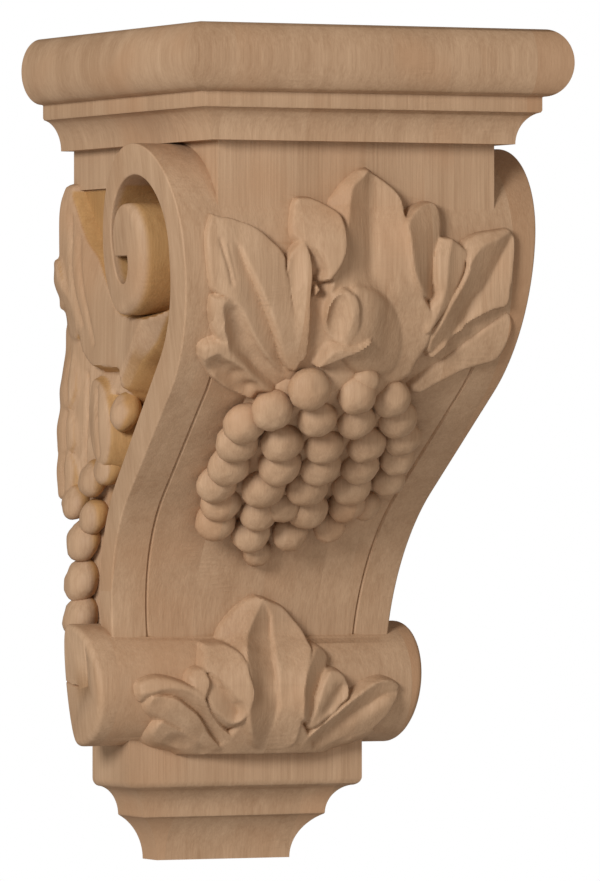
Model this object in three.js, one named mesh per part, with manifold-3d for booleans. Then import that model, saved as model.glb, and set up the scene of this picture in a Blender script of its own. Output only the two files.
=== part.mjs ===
// A wooden corbel bracket carved from one block: a moulded cap, an S scroll with a volute on each side,
// a vine leaf over a bunch of grapes on the front, a leaf and a bunch in each side panel, a roll with a
// leaf of its own and a stepped drop below. Millimetres, +Z up, +X to the viewer's right.
// The flat back stands on the wall plane Y = 0, the carved front faces -Y,
// and the origin is the middle of the back.
import * as THREE from "three";
import { mergeVertices } from "three/addons/utils/BufferGeometryUtils.js";
import Module from "manifold-3d";

// Overall size
const WIDTH = 152.4;
const DEPTH = 152.4;
const HEIGHT = 304.8;
const TOP = HEIGHT / 2;

// Heights are given as drops below the top of the cap, depths as distances forward of the wall.
const CAP_NOSE = { jut: 8.2, depth: 24.4 };
const CAP_FILLET = { inset: 8.7, drop: 30 };
const CAP_COVE = { inset: 16, drop: 41.5, turn: 84 };
const NECK = { half: 55, forward: 129.6, from: 39.5, panelDrop: 56, frontDrop: 68, frontStart: 122 };

// The scroll seen from the side: a crown, a bulge, a straight run and a hollow
const CROWN = { forward: 94.5, drop: 80, radius: 38.3 };
const BULGE = { forward: 68.9, drop: 82, radius: 64 };
const HOLLOW = { forward: 110.2, drop: 224, radius: 72 };
const BAND = { atBulge: 13.5, atHollow: 10.5 };
const SCROLL_FOOT = 244;
const SIDE = { halfAtTop: 78, taper: 0.0992 };
const PANEL = { halfAtTop: 55.7, taper: 0.0432, top: 50, foot: 270, crest: 105, cover: 5 };

// The volute: outer back edge, curl, eye and slot
const VOLUTE_BACK = { forward: 60.9, drop: 86 };
const VOLUTE_FOOT = { forward: 73, drop: 103.3 };
const CURL_FRONT = { forward: 96.6, drop: 78 };
const CURL_TOP = { forward: 86, drop: 62.9 };
const CURL_BACK = { forward: 71.3, drop: 76 };
const EYE = { forward: 76, drop: 82, half: 6.3, depth: 10 };
const SLOT = { forward: 94.5, drop: 78.3, radius: 25.2 };

const GROOVE = { inset: 14.2, half: 1.1, depth: 1.6, proud: 0.5, from: 112, to: 221, steps: 10 };
const ROLL = { forward: 22.5, drop: 239, half: 65.9, round: 2.5, sides: 20 };
const ROLL_SECTION = { front: 25.7, back: 6.3, high: 22.6, under: 16 };
const DROP_BLOCK = { half: 47.5, forward: 33.6, from: 250, to: 277.4, round: 3.2 };
const DROP_COVES = [
  { inset: 10.4, drop: 288.2, turn: 78 },
  { inset: 20.4, drop: HEIGHT, turn: 62 },
];
const DROP_STEP = 0.5;

// The slight fall of a level step between two mouldings
const STEP_FALL = 0.2;

// The bunch of grapes on the front, row by row from the top: drop, count, middle, spacing and radius
const FRONT_ROWS = [
  { drop: 122.5, count: 2, middle: -9, spacing: 17.5, radius: 8.4 },
  { drop: 130.5, count: 4, middle: -2.5, spacing: 17.6, radius: 8.3 },
  { drop: 140.5, count: 5, middle: -2.5, spacing: 16.8, radius: 8 },
  { drop: 149.5, count: 5, middle: 0, spacing: 17, radius: 7.8 },
  { drop: 158, count: 5, middle: 0, spacing: 16.8, radius: 7.6 },
  { drop: 166.5, count: 4, middle: -3.5, spacing: 15.5, radius: 7.4 },
  { drop: 175, count: 4, middle: -5, spacing: 13.8, radius: 7 },
  { drop: 183.5, count: 1, middle: -8.5, spacing: 0, radius: 6.2 },
];
const FRONT_BUNCH = { stand: 10.8, edgeFall: 6, reach: 36, thinFrom: 162, thinRate: 0.28, sides: 6 };

// The bunch in a side panel: drop, forward end of the row, count and stand, stepping back towards the wall
const SIDE_ROWS = [
  { drop: 139, forward: 62, count: 1, stand: 5.5 },
  { drop: 150, forward: 46, count: 1, stand: 6 },
  { drop: 161, forward: 42, count: 1, stand: 6.5 },
  { drop: 172, forward: 33, count: 2, stand: 9 },
  { drop: 185, forward: 32, count: 2, stand: 9.5 },
  { drop: 199, forward: 30, count: 2, stand: 10.5 },
  { drop: 213, forward: 29, count: 2, stand: 11 },
];
const SIDE_BUNCH = { spacing: 15.5, radius: 7.8, sides: 6 };
const GRAPE_RINGS = 4;
const MOUND_SIDES = 9;
const MOUND_RINGS = 6;

// How far every leaf patch is sunk into the wood that carries it
const SINK = 2.5;
const LOBE_STEPS = { along: 4, across: 4 };

// The outline of a lobe: where it is widest, its shares of that width at base and tip, and how full it stays
const LOBE_SHAPE = { widest: 0.45, baseShare: 0.62, tipShare: 0.05, fullness: 1.9 };

// Leaf lobes, from base to tip as [across, drop] on the front, with the half widths and heights of each side
const FRONT_LEAF = {
  middle: 1.5,
  centre: {
    base: [0, 100], tip: [1.5, 51.5], left: 11, right: 15,
    leftRim: 7.5, rightRim: 5, rib: 3, flare: 3,
  },
  pairs: [
    { base: [18, 96], tip: [25.5, 62], left: 9, right: 9, leftRim: 2.5, rightRim: 7.5, rib: 5, flare: 1 },
    { base: [25, 110], tip: [27, 76.5], left: 4.5, right: 4.5, leftRim: 4, rightRim: 4, rib: 6.5, flare: 1 },
    { base: [26, 122], tip: [59.5, 69.5], left: 12, right: 13, leftRim: 3, rightRim: 4, rib: 1.6, flare: 1 },
    { base: [28, 121], tip: [58.5, 97], left: 7, right: 8, leftRim: 3.5, rightRim: 3, rib: 1.6, flare: 1 },
    { base: [22, 125], tip: [59, 116], left: 8, right: 7, leftRim: 4.5, rightRim: 5.5, rib: 3, flare: 0.5 },
  ],
};
const STEM = {
  bulb: { at: [5, 111], half: [15, 17], height: 14 },
  curl: { at: [-12, 101], half: [7.5, 9.5], height: 18 },
  cup: { at: [-15, 100.5], half: [4.2, 7], height: 5, stand: 16 },
};
const BUNCH_MOUND = { base: [-1, 116], tip: [-7, 188], half: 36, height: 10 };

// The leaf on the roll, [across, drop], with heights measured straight forward
const ROLL_LEAF = {
  middle: 2,
  centre: {
    base: [1.5, 262], tip: [1.5, 206.5], left: 12, right: 14,
    leftRim: 9, rightRim: 7.5, rib: 5, flare: 2,
  },
  pairs: [
    { base: [13, 253], tip: [22, 224.5], left: 8, right: 8, leftRim: 3, rightRim: 9, rib: 5.5, flare: 1 },
    { base: [16.5, 257.5], tip: [29.5, 233], left: 5, right: 5, leftRim: 4, rightRim: 4, rib: 6, flare: 1 },
    { base: [15, 263], tip: [52, 238], left: 8.5, right: 8.5, leftRim: 3.5, rightRim: 5, rib: 2, flare: 1 },
    { base: [21, 265], tip: [46, 255.5], left: 4.5, right: 4.5, leftRim: 3, rightRim: 4, rib: 2.5, flare: 0 },
  ],
  heel: { base: [-2, 264.5], tip: [-2, 240], left: 27, right: 25, leftRim: 3, rightRim: 3, rib: 8, flare: 1 },
};

// The leaf in a side panel, [forward, drop] on the panel floor
const SIDE_LEAF = [
  { base: [28, 124], tip: [7, 54], left: 22, right: 16, leftRim: 10, rightRim: 6, rib: 8.5, flare: 2 },
  { base: [30, 122], tip: [1, 87], left: 9, right: 10, leftRim: 10, rightRim: 12, rib: 9, flare: 2 },
  { base: [36, 118], tip: [98, 102], left: 9, right: 15, leftRim: 8, rightRim: 7, rib: 9.5, flare: 1 },
  { base: [32, 112], tip: [6, 170], left: 11, right: 12, leftRim: 7, rightRim: 11, rib: 9, flare: 1 },
  { base: [36, 114], tip: [42, 154], left: 9, right: 9, leftRim: 6, rightRim: 6, rib: 8, flare: 1 },
];

// The raised ground that the bunch in a side panel hangs on
const SIDE_BED = {
  base: [30, 148], tip: [21, 228], left: 15, right: 15,
  leftRim: 4, rightRim: 4, rib: 7, flare: 1, tipLift: 1, arch: 2,
};

const CURVE_STEPS = 3;
const MOULDING_STEPS = 4;
const SLOPE_STEP = 0.5;
const WOOD = { color: 0xbd9878, roughness: 0.72, metalness: 0 };

const wasm = await Module();
wasm.setup();

const height = (drop) => TOP - drop;
const point = (across, forward, drop) => new THREE.Vector3(across, -forward, height(drop));
const mix = THREE.MathUtils.lerp;

function solidOf(geometry) {
  const bare = geometry.clone();
  bare.deleteAttribute("normal");
  bare.deleteAttribute("uv");
  const merged = mergeVertices(bare);
  const mesh = new wasm.Mesh({
    numProp: 3,
    vertProperties: new Float32Array(merged.attributes.position.array),
    triVerts: new Uint32Array(merged.index.array),
  });
  return new wasm.Manifold(mesh);
}

function geometryOf(points, faces) {
  const positions = points.flatMap((p) => [p.x, p.y, p.z]);
  return new THREE.BufferGeometry()
    .setAttribute("position", new THREE.Float32BufferAttribute(positions, 3))
    .setIndex(faces);
}

// Six times the volume that the faces enclose, negative where they point inwards.
function turning(points, faces) {
  let sum = 0;
  for (let i = 0; i < faces.length; i += 3) {
    const [a, b, c] = [points[faces[i]], points[faces[i + 1]], points[faces[i + 2]]];
    sum += a.dot(b.clone().cross(c));
  }
  return sum;
}

function closedSolid(points, faces) {
  const outward = turning(points, faces) > 0 ? faces : faces.slice().reverse();
  return solidOf(geometryOf(points, outward));
}

// A closed solid through rings of equal count, each convex, with flat ends.
function loft(rings) {
  const sides = rings[0].length;
  const points = rings.flat();
  const faces = [];
  for (let i = 0; i + 1 < rings.length; i++) {
    for (let j = 0; j < sides; j++) {
      const a = i * sides + j;
      const b = i * sides + ((j + 1) % sides);
      faces.push(a, b, b + sides, a, b + sides, a + sides);
    }
  }
  const last = (rings.length - 1) * sides;
  for (let j = 1; j + 1 < sides; j++) {
    faces.push(0, j + 1, j);
    faces.push(last, last + j, last + j + 1);
  }
  return closedSolid(points, faces);
}

// A moulding that runs round the front and both sides with mitred corners and dies on the wall.
function mitredMoulding(half, forward, profile) {
  const rings = profile.map(({ inset, drop }) => {
    const w = half - inset;
    const d = forward - inset;
    return [point(-w, 0, drop), point(-w, d, drop), point(w, d, drop), point(w, 0, drop)];
  });
  return loft(rings);
}

// A hollow curve that ends upright, having turned through the given number of degrees.
function coveProfile(from, to) {
  const turn = THREE.MathUtils.degToRad(to.turn);
  const profile = [];
  for (let i = 1; i <= MOULDING_STEPS; i++) {
    const left = turn * (1 - i / MOULDING_STEPS);
    const inset = mix(from.inset, to.inset, (Math.cos(left) - Math.cos(turn)) / (1 - Math.cos(turn)));
    const drop = mix(from.drop, to.drop, 1 - Math.sin(left) / Math.sin(turn));
    profile.push({ inset, drop });
  }
  return profile;
}

function cap() {
  const profile = [];
  for (let i = 0; i <= 2 * MOULDING_STEPS; i++) {
    const angle = (0.5 - i / (2 * MOULDING_STEPS)) * Math.PI;
    const inset = CAP_NOSE.jut * (1 - Math.cos(angle));
    const drop = (CAP_NOSE.depth / 2) * (1 - Math.sin(angle));
    profile.push({ inset, drop });
  }
  profile.push({ inset: CAP_FILLET.inset, drop: CAP_NOSE.depth + STEP_FALL }, CAP_FILLET);
  profile.push(...coveProfile(CAP_FILLET, CAP_COVE));
  return mitredMoulding(WIDTH / 2, DEPTH, profile);
}

function hangingDrop() {
  const profile = [{ inset: 0, drop: DROP_BLOCK.from }];
  for (let i = 0; i <= MOULDING_STEPS; i++) {
    const angle = (i / MOULDING_STEPS) * (Math.PI / 2);
    const inset = DROP_BLOCK.round * (1 - Math.cos(angle));
    profile.push({ inset, drop: DROP_BLOCK.to - DROP_BLOCK.round * (1 - Math.sin(angle)) });
  }
  let from = profile.at(-1);
  for (const cove of DROP_COVES) {
    profile.push(...coveProfile(from, cove));
    from = { inset: cove.inset + DROP_STEP, drop: cove.drop + STEP_FALL };
    if (cove.drop < HEIGHT) profile.push(from);
  }
  return mitredMoulding(DROP_BLOCK.half, DROP_BLOCK.forward, profile);
}

// The lean of the straight run that touches both circles, from upright.
function runLean(bulgeRadius, hollowRadius) {
  const ahead = HOLLOW.forward - BULGE.forward;
  const below = HOLLOW.drop - BULGE.drop;
  return Math.asin((bulgeRadius + hollowRadius) / Math.hypot(ahead, below)) - Math.atan2(ahead, below);
}
const LEAN = runLean(BULGE.radius, HOLLOW.radius);

// How far forward the front of the scroll and neck stands at a drop.
function frontAt(drop) {
  const bulgeEnd = BULGE.drop + BULGE.radius * Math.sin(LEAN);
  const hollowStart = HOLLOW.drop - HOLLOW.radius * Math.sin(LEAN);
  if (drop < CROWN.drop) {
    const rise = Math.min(CROWN.drop - drop, CROWN.radius);
    return Math.max(NECK.forward, CROWN.forward + Math.sqrt(CROWN.radius ** 2 - rise ** 2));
  }
  if (drop < bulgeEnd) {
    const fall = Math.max(drop - BULGE.drop, 0);
    return BULGE.forward + Math.sqrt(BULGE.radius ** 2 - fall ** 2);
  }
  if (drop < hollowStart) {
    const share = (drop - bulgeEnd) / (hollowStart - bulgeEnd);
    const from = BULGE.forward + BULGE.radius * Math.cos(LEAN);
    return mix(from, HOLLOW.forward - HOLLOW.radius * Math.cos(LEAN), share);
  }
  const rise = Math.max(HOLLOW.drop - drop, 0);
  return HOLLOW.forward - Math.sqrt(HOLLOW.radius ** 2 - rise ** 2);
}

const sideHalf = (drop) => SIDE.halfAtTop - SIDE.taper * drop;
const panelHalf = (drop) => PANEL.halfAtTop - PANEL.taper * drop;

// Charts turn two surface measures and a height off the surface into a place.
function onFront(across, drop, rise) {
  const slope = (frontAt(drop + SLOPE_STEP) - frontAt(drop - SLOPE_STEP)) / (2 * SLOPE_STEP);
  const length = Math.hypot(1, slope);
  return point(across, frontAt(drop) + rise / length, drop - (rise * slope) / length);
}

// The foremost surface where the scroll runs down into the roll.
function rollFront(drop) {
  const { front, high, under } = ROLL_SECTION;
  const off = THREE.MathUtils.clamp(drop - ROLL.drop, -high, under) / high;
  const around = ROLL.forward + front * Math.sqrt(1 - off ** 2);
  return drop < ROLL.drop ? Math.max(around, frontAt(drop)) : around;
}

const onRoll = (across, drop, rise) => point(across, rollFront(drop) + rise, drop);
const onSide = (side) => (forward, drop, rise) => point(side * (panelHalf(drop) + rise), forward, drop);

// An extrusion of a side outline across the bracket, with its ends on the two tapering sides.
function acrossBoth(shape, halfAt) {
  const between = 2;
  const settings = { depth: between, bevelEnabled: false, curveSegments: CURVE_STEPS };
  const geometry = new THREE.ExtrudeGeometry(shape, settings);
  const at = geometry.attributes.position;
  for (let i = 0; i < at.count; i++) {
    const [forward, z, end] = [at.getX(i), at.getY(i), at.getZ(i) - between / 2];
    at.setXYZ(i, end * halfAt(TOP - z), -forward, z);
  }
  const mesh = mergeVertices(new THREE.BufferGeometry().setAttribute("position", at));
  const points = [];
  for (let i = 0; i < mesh.attributes.position.count; i++) {
    points.push(new THREE.Vector3().fromBufferAttribute(mesh.attributes.position, i));
  }
  return closedSolid(points, Array.from(mesh.index.array));
}

function quarter(path, centre, halfForward, halfHigh, start, end, clockwise = false) {
  path.absellipse(centre.forward, height(centre.drop), halfForward, halfHigh, start, end, clockwise);
}

function scroll() {
  const right = 0;
  const up = Math.PI / 2;
  const back = Math.PI;
  const down = 1.5 * Math.PI;
  const innerBulge = BULGE.radius - BAND.atBulge;
  const innerHollow = HOLLOW.radius + BAND.atHollow;
  const innerLean = runLean(innerBulge, innerHollow);
  const shape = new THREE.Shape();
  shape.moveTo(HOLLOW.forward - innerHollow, height(SCROLL_FOOT));
  shape.lineTo(HOLLOW.forward - HOLLOW.radius, height(SCROLL_FOOT));
  quarter(shape, HOLLOW, HOLLOW.radius, HOLLOW.radius, back, back - LEAN, true);
  quarter(shape, BULGE, BULGE.radius, BULGE.radius, -LEAN, right);
  quarter(shape, CROWN, CROWN.radius, CROWN.radius, right, up);
  const backCentre = { forward: CROWN.forward, drop: VOLUTE_BACK.drop };
  const backHigh = VOLUTE_BACK.drop - (CROWN.drop - CROWN.radius);
  quarter(shape, backCentre, CROWN.forward - VOLUTE_BACK.forward, backHigh, up, back);
  const footCentre = { forward: VOLUTE_FOOT.forward, drop: VOLUTE_BACK.drop };
  const footHalf = VOLUTE_FOOT.forward - VOLUTE_BACK.forward;
  quarter(shape, footCentre, footHalf, VOLUTE_FOOT.drop - VOLUTE_BACK.drop, back, down);
  const curlCentre = { forward: VOLUTE_FOOT.forward, drop: CURL_FRONT.drop };
  const curlHalf = CURL_FRONT.forward - VOLUTE_FOOT.forward;
  quarter(shape, curlCentre, curlHalf, VOLUTE_FOOT.drop - CURL_FRONT.drop, down, 2 * Math.PI);
  const frontCentre = { forward: CURL_TOP.forward, drop: CURL_FRONT.drop };
  const frontHalf = CURL_FRONT.forward - CURL_TOP.forward;
  quarter(shape, frontCentre, frontHalf, CURL_FRONT.drop - CURL_TOP.drop, right, up);
  const topCentre = { forward: CURL_TOP.forward, drop: CURL_BACK.drop };
  quarter(shape, topCentre, CURL_TOP.forward - CURL_BACK.forward, CURL_BACK.drop - CURL_TOP.drop, up, back);
  shape.lineTo(CURL_BACK.forward, height(EYE.drop));
  quarter(shape, EYE, EYE.half, EYE.depth, right, -back, true);
  quarter(shape, SLOT, SLOT.radius, SLOT.radius, back, right, true);
  quarter(shape, BULGE, innerBulge, innerBulge, right, -innerLean, true);
  quarter(shape, HOLLOW, innerHollow, innerHollow, back - innerLean, back);
  return acrossBoth(shape, sideHalf);
}

// The block behind the scroll, whose sides are the panel floors.
function panelCore() {
  const front = BULGE.radius - PANEL.cover;
  const foot = HOLLOW.radius + PANEL.cover;
  const lean = runLean(front, foot);
  const shape = new THREE.Shape();
  shape.moveTo(0, height(PANEL.foot));
  shape.lineTo(HOLLOW.forward - foot, height(PANEL.foot));
  quarter(shape, HOLLOW, foot, foot, Math.PI, Math.PI - lean, true);
  quarter(shape, BULGE, front, front, -lean, 0);
  shape.lineTo(PANEL.crest, height(PANEL.top));
  shape.lineTo(0, height(PANEL.top));
  return acrossBoth(shape, panelHalf);
}

function block(half, back, forward, from, to) {
  const geometry = new THREE.BoxGeometry(2 * half, forward - back, to - from);
  geometry.translate(0, -(forward + back) / 2, height((from + to) / 2));
  return solidOf(geometry);
}

function neck() {
  const whole = block(NECK.half, 0, NECK.forward, NECK.from, NECK.panelDrop);
  return whole.add(block(NECK.half, NECK.frontStart, NECK.forward, NECK.from, NECK.frontDrop));
}

// The incised line that parts a side band from the field of the front.
function groove(side) {
  const rings = [];
  for (let i = 0; i <= GROOVE.steps; i++) {
    const drop = mix(GROOVE.from, GROOVE.to, i / GROOVE.steps);
    const across = sideHalf(drop) - GROOVE.inset;
    rings.push([
      onFront(side * (across - GROOVE.half), drop, GROOVE.proud),
      onFront(side * (across + GROOVE.half), drop, GROOVE.proud),
      onFront(side * across, drop, -GROOVE.depth),
    ]);
  }
  return loft(rings);
}

// The roll across the foot of the scroll: full in front, flatter behind, with ends that lean like its sides.
function roll() {
  const { half, round, sides } = ROLL;
  const ends = [[round, -half], [0, round - half], [0, half - round], [round, half]];
  const rings = ends.map(([trim, across]) => {
    const ring = [];
    for (let i = 0; i < sides; i++) {
      const angle = (i / sides) * 2 * Math.PI;
      const reach = Math.cos(angle) > 0 ? ROLL_SECTION.front : ROLL_SECTION.back;
      const up = (ROLL_SECTION.high - trim) * Math.sin(angle);
      const lean = Math.sign(across) * SIDE.taper * up;
      ring.push(point(across + lean, ROLL.forward + (reach - trim) * Math.cos(angle), ROLL.drop - up));
    }
    return ring;
  });
  return loft(rings);
}

// How wide a lobe is along its length, as a share of its half width: broad in the middle, pointed at the tip.
function lobeOutline(along) {
  const { widest, baseShare, tipShare, fullness } = LOBE_SHAPE;
  if (along < widest) return mix(baseShare, 1, Math.sin((along / widest) * (Math.PI / 2)));
  const rest = (along - widest) / (1 - widest);
  return mix(1, tipShare, rest ** fullness);
}

// A leaf lobe: a closed patch whose rims and rib stand off the surface, sunk into the wood below.
function lobe(chart, { base, tip, left, right, leftRim, rightRim, rib, flare, tipLift = 0.6, arch = 1 }) {
  const from = new THREE.Vector2(...base);
  const to = new THREE.Vector2(...tip);
  const along = to.clone().sub(from).normalize();
  const aside = new THREE.Vector2(-along.y, along.x);
  const { along: rows, across: columns } = LOBE_STEPS;
  const top = [];
  const under = [];
  for (let i = 0; i <= rows; i++) {
    const s = i / rows;
    const lift = mix(1, tipLift, s);
    for (let j = 0; j <= columns; j++) {
      const t = (2 * j) / columns - 1;
      const half = t < 0 ? left : right;
      const rim = t < 0 ? leftRim : rightRim;
      const out = t * half * lobeOutline(s);
      const place = from.clone().lerp(to, s).addScaledVector(aside, out);
      const skirt = place.clone().addScaledVector(aside, t * flare);
      top.push(chart(place.x, place.y, lift * mix(rib, rim, Math.abs(t) ** arch)));
      under.push(chart(skirt.x, skirt.y, -SINK));
    }
  }
  return gridSolid(top, under, rows, columns);
}

// A closed solid between two grids of points that lie over each other.
function gridSolid(top, under, rows, columns) {
  const wide = columns + 1;
  const shift = top.length;
  const faces = [];
  const quad = (a, b, c, d) => faces.push(a, b, c, a, c, d);
  for (let i = 0; i < rows; i++) {
    for (let j = 0; j < columns; j++) {
      const a = i * wide + j;
      quad(a, a + 1, a + 1 + wide, a + wide);
      quad(shift + a, shift + a + wide, shift + a + 1 + wide, shift + a + 1);
    }
  }
  const wall = (a, b) => quad(b, a, a + shift, b + shift);
  for (let j = 0; j < columns; j++) {
    wall(j, j + 1);
    wall(rows * wide + j + 1, rows * wide + j);
  }
  for (let i = 0; i < rows; i++) {
    wall((i + 1) * wide, i * wide);
    wall(i * wide + columns, (i + 1) * wide + columns);
  }
  return closedSolid(top.concat(under), faces);
}

// A rounded mound on a surface, as an oval of the given half sizes.
function mound(chart, { at, half, height: rise, stand = 0 }) {
  const ball = new THREE.SphereGeometry(1, MOUND_SIDES, MOUND_RINGS);
  const spot = ball.attributes.position;
  for (let i = 0; i < spot.count; i++) {
    const [a, b, c] = [spot.getX(i), spot.getZ(i), spot.getY(i)];
    const off = stand + (c > 0 || stand ? c * rise : c * SINK);
    const place = chart(at[0] + a * half[0], at[1] + b * half[1], off);
    spot.setXYZ(i, place.x, place.y, place.z);
  }
  const moved = new THREE.BufferGeometry().setAttribute("position", spot).setIndex(ball.index);
  const mesh = mergeVertices(moved);
  const points = [];
  for (let i = 0; i < mesh.attributes.position.count; i++) {
    points.push(new THREE.Vector3().fromBufferAttribute(mesh.attributes.position, i));
  }
  return closedSolid(points, Array.from(mesh.index.array));
}

function grape(centre, radius, sides) {
  const ball = new THREE.SphereGeometry(radius, sides, GRAPE_RINGS);
  ball.translate(centre.x, centre.y, centre.z);
  return solidOf(ball);
}

// The lobes of a leaf on a chart: a centre lobe and pairs that mirror each other.
function leaf(chart, { middle, centre, pairs }) {
  const moved = (x, y) => [middle + x, y];
  const lobes = [lobe(chart, { ...centre, base: moved(...centre.base), tip: moved(...centre.tip) })];
  for (const pair of pairs) {
    const [bx, by] = pair.base;
    const [tx, ty] = pair.tip;
    lobes.push(lobe(chart, { ...pair, base: moved(-bx, by), tip: moved(-tx, ty) }));
    const mirrored = { left: pair.right, right: pair.left, leftRim: pair.rightRim, rightRim: pair.leftRim };
    lobes.push(lobe(chart, { ...pair, ...mirrored, base: moved(bx, by), tip: moved(tx, ty) }));
  }
  return lobes;
}

function frontGrapes() {
  const grapes = [];
  for (const { drop, count, middle, spacing, radius } of FRONT_ROWS) {
    const thin = Math.max(drop - FRONT_BUNCH.thinFrom, 0) * FRONT_BUNCH.thinRate;
    for (let i = 0; i < count; i++) {
      const across = middle + (i - (count - 1) / 2) * spacing;
      const stand = FRONT_BUNCH.stand - thin - FRONT_BUNCH.edgeFall * (across / FRONT_BUNCH.reach) ** 2;
      grapes.push(grape(onFront(across, drop, stand), radius, FRONT_BUNCH.sides));
    }
  }
  return grapes;
}

function frontMound() {
  const { base, tip, half, height: rise } = BUNCH_MOUND;
  const spread = { left: half, right: half, flare: 0 };
  const heights = { leftRim: 1, rightRim: 1, rib: rise, tipLift: 0.2, arch: 2 };
  return lobe(onFront, { base, tip, ...spread, ...heights });
}

function sideCarving(side) {
  const chart = onSide(side);
  const solids = [...SIDE_LEAF, SIDE_BED].map((sizes) => lobe(chart, sizes));
  for (const { drop, forward, count, stand } of SIDE_ROWS) {
    for (let i = 0; i < count; i++) {
      const ahead = forward - i * SIDE_BUNCH.spacing;
      solids.push(grape(chart(ahead, drop, stand), SIDE_BUNCH.radius, SIDE_BUNCH.sides));
    }
  }
  return solids;
}

function corbel() {
  let body = scroll().add(panelCore()).add(neck()).add(cap()).add(roll()).add(hangingDrop());
  for (const side of [-1, 1]) body = body.subtract(groove(side));
  const carving = [...leaf(onFront, FRONT_LEAF), mound(onFront, STEM.bulb), mound(onFront, STEM.curl)];
  for (const solid of carving) body = body.add(solid);
  body = body.subtract(mound(onFront, STEM.cup));
  const rest = [frontMound(), ...frontGrapes(), ...leaf(onRoll, ROLL_LEAF), lobe(onRoll, ROLL_LEAF.heel)];
  for (const side of [-1, 1]) rest.push(...sideCarving(side));
  for (const solid of rest) body = body.add(solid);
  const behindWall = block(WIDTH, -DEPTH, 0, -HEIGHT, 2 * HEIGHT);
  return body.subtract(behindWall);
}

function meshOf(name, solid) {
  const { numProp, vertProperties, triVerts } = solid.getMesh();
  const positions = [];
  for (let i = 0; i < vertProperties.length; i += numProp) {
    positions.push(...vertProperties.subarray(i, i + 3));
  }
  const geometry = new THREE.BufferGeometry()
    .setAttribute("position", new THREE.Float32BufferAttribute(positions, 3))
    .setIndex(Array.from(triVerts));
  geometry.computeVertexNormals();
  const mesh = new THREE.Mesh(geometry, new THREE.MeshStandardMaterial(WOOD));
  mesh.name = name;
  return mesh;
}

const bracket = new THREE.Group();
bracket.name = "corbel_bracket";
bracket.add(meshOf("corbel", corbel()));

export default bracket;
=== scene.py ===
"""A carved wooden corbel: moulded cap, S scroll with volutes, vine leaves, grapes, roll and stepped drop.

Sizes are in millimetres until a mesh is written. Heights are drops below the top of the cap, depths are
distances forward of the wall, and X runs to the viewer's right. The carved fields are relief over the
surface that carries them.
"""
import math
import bpy
import numpy as np
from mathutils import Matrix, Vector


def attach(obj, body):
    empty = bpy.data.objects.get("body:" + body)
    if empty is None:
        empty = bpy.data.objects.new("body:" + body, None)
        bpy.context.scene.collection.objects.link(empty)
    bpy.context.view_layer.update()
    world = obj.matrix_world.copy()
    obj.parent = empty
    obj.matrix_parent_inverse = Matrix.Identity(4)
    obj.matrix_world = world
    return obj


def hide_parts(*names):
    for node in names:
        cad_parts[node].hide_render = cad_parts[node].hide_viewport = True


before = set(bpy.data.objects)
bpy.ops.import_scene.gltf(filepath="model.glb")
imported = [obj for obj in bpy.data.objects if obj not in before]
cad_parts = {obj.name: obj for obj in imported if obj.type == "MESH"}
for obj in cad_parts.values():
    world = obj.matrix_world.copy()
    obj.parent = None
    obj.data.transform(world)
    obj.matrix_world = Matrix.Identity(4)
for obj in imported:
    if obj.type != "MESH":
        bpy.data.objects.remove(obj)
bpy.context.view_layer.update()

MM = 0.001
WIDTH = 152.4
DEPTH = 152.4
HEIGHT = 304.8
TOP = HEIGHT / 2
HALF_TURN = math.pi
QUARTER = math.pi / 2

# Body of the bracket
CAP_NOSE = {"jut": 8.2, "depth": 24.4}
CAP_FILLET = {"inset": 8.7, "drop": 30.0}
CAP_COVE = {"inset": 16.0, "drop": 41.5, "turn": 84}
NECK = {"half": 55.0, "forward": 129.6, "start": 39.5, "panel_drop": 56.0,
        "front_drop": 68.0, "front_start": 122.0}
CROWN = {"at": (94.5, 80.0), "radius": 38.3}
BULGE = {"at": (68.9, 82.0), "radius": 64.0}
HOLLOW = {"at": (110.2, 224.0), "radius": 72.0}
BAND = {"at_bulge": 13.5, "at_hollow": 10.5}
SCROLL_FOOT = 244.0
SIDE = {"half": 78.0, "taper": 0.0992}
PANEL = {"half": 55.7, "taper": 0.0432, "top": 50.0, "foot": 270.0, "crest": 105.0, "cover": 5.0}
VOLUTE_BACK = (60.9, 86.0)
VOLUTE_FOOT = (73.0, 103.3)
CURL_FRONT = (96.6, 78.0)
CURL_TOP = (86.0, 62.9)
CURL_BACK = (71.3, 76.0)
EYE = {"at": (76.0, 82.0), "half": 6.3, "depth": 10.0}
SLOT = {"at": (94.5, 78.3), "radius": 25.2}
GROOVE = {"inset": 14.2, "half": 0.7, "depth": 0.9, "start": 112.0, "end": 221.0}
ROLL = {"at": (22.5, 239.0), "front": 25.7, "back": 6.3, "high": 22.6, "half": 65.9, "round": 2.5}
DROP_BLOCK = {"half": 47.5, "forward": 33.6, "start": 250.0, "end": 277.4, "round": 3.2}
DROP_COVES = [{"inset": 10.4, "drop": 288.2, "turn": 78}, {"inset": 20.4, "drop": HEIGHT, "turn": 62}]
DROP_STEP = 0.5
STEP_FALL = 0.2
LEAF_FOOT = 34.0
EDGE_EASE = 0.7
CURL_EASE = 5.0


def point(across, forward, drop):
    """A place in the shared frame, in millimetres, from arrays or numbers."""
    return np.stack(np.broadcast_arrays(across, -np.asarray(forward), TOP - np.asarray(drop)), axis=-1)


def mesh_object(name, points, faces):
    mesh = bpy.data.meshes.new(name)
    mesh.from_pydata((np.asarray(points) * MM).tolist(), [], [tuple(int(i) for i in f) for f in faces])
    mesh.update()
    made = bpy.data.objects.new(name, mesh)
    bpy.context.scene.collection.objects.link(made)
    return made


def enclosed_volume(points, faces):
    total = 0.0
    for f in faces:
        for i in range(1, len(f) - 1):
            total += np.dot(points[f[0]], np.cross(points[f[i]], points[f[i + 1]]))
    return total


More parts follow.
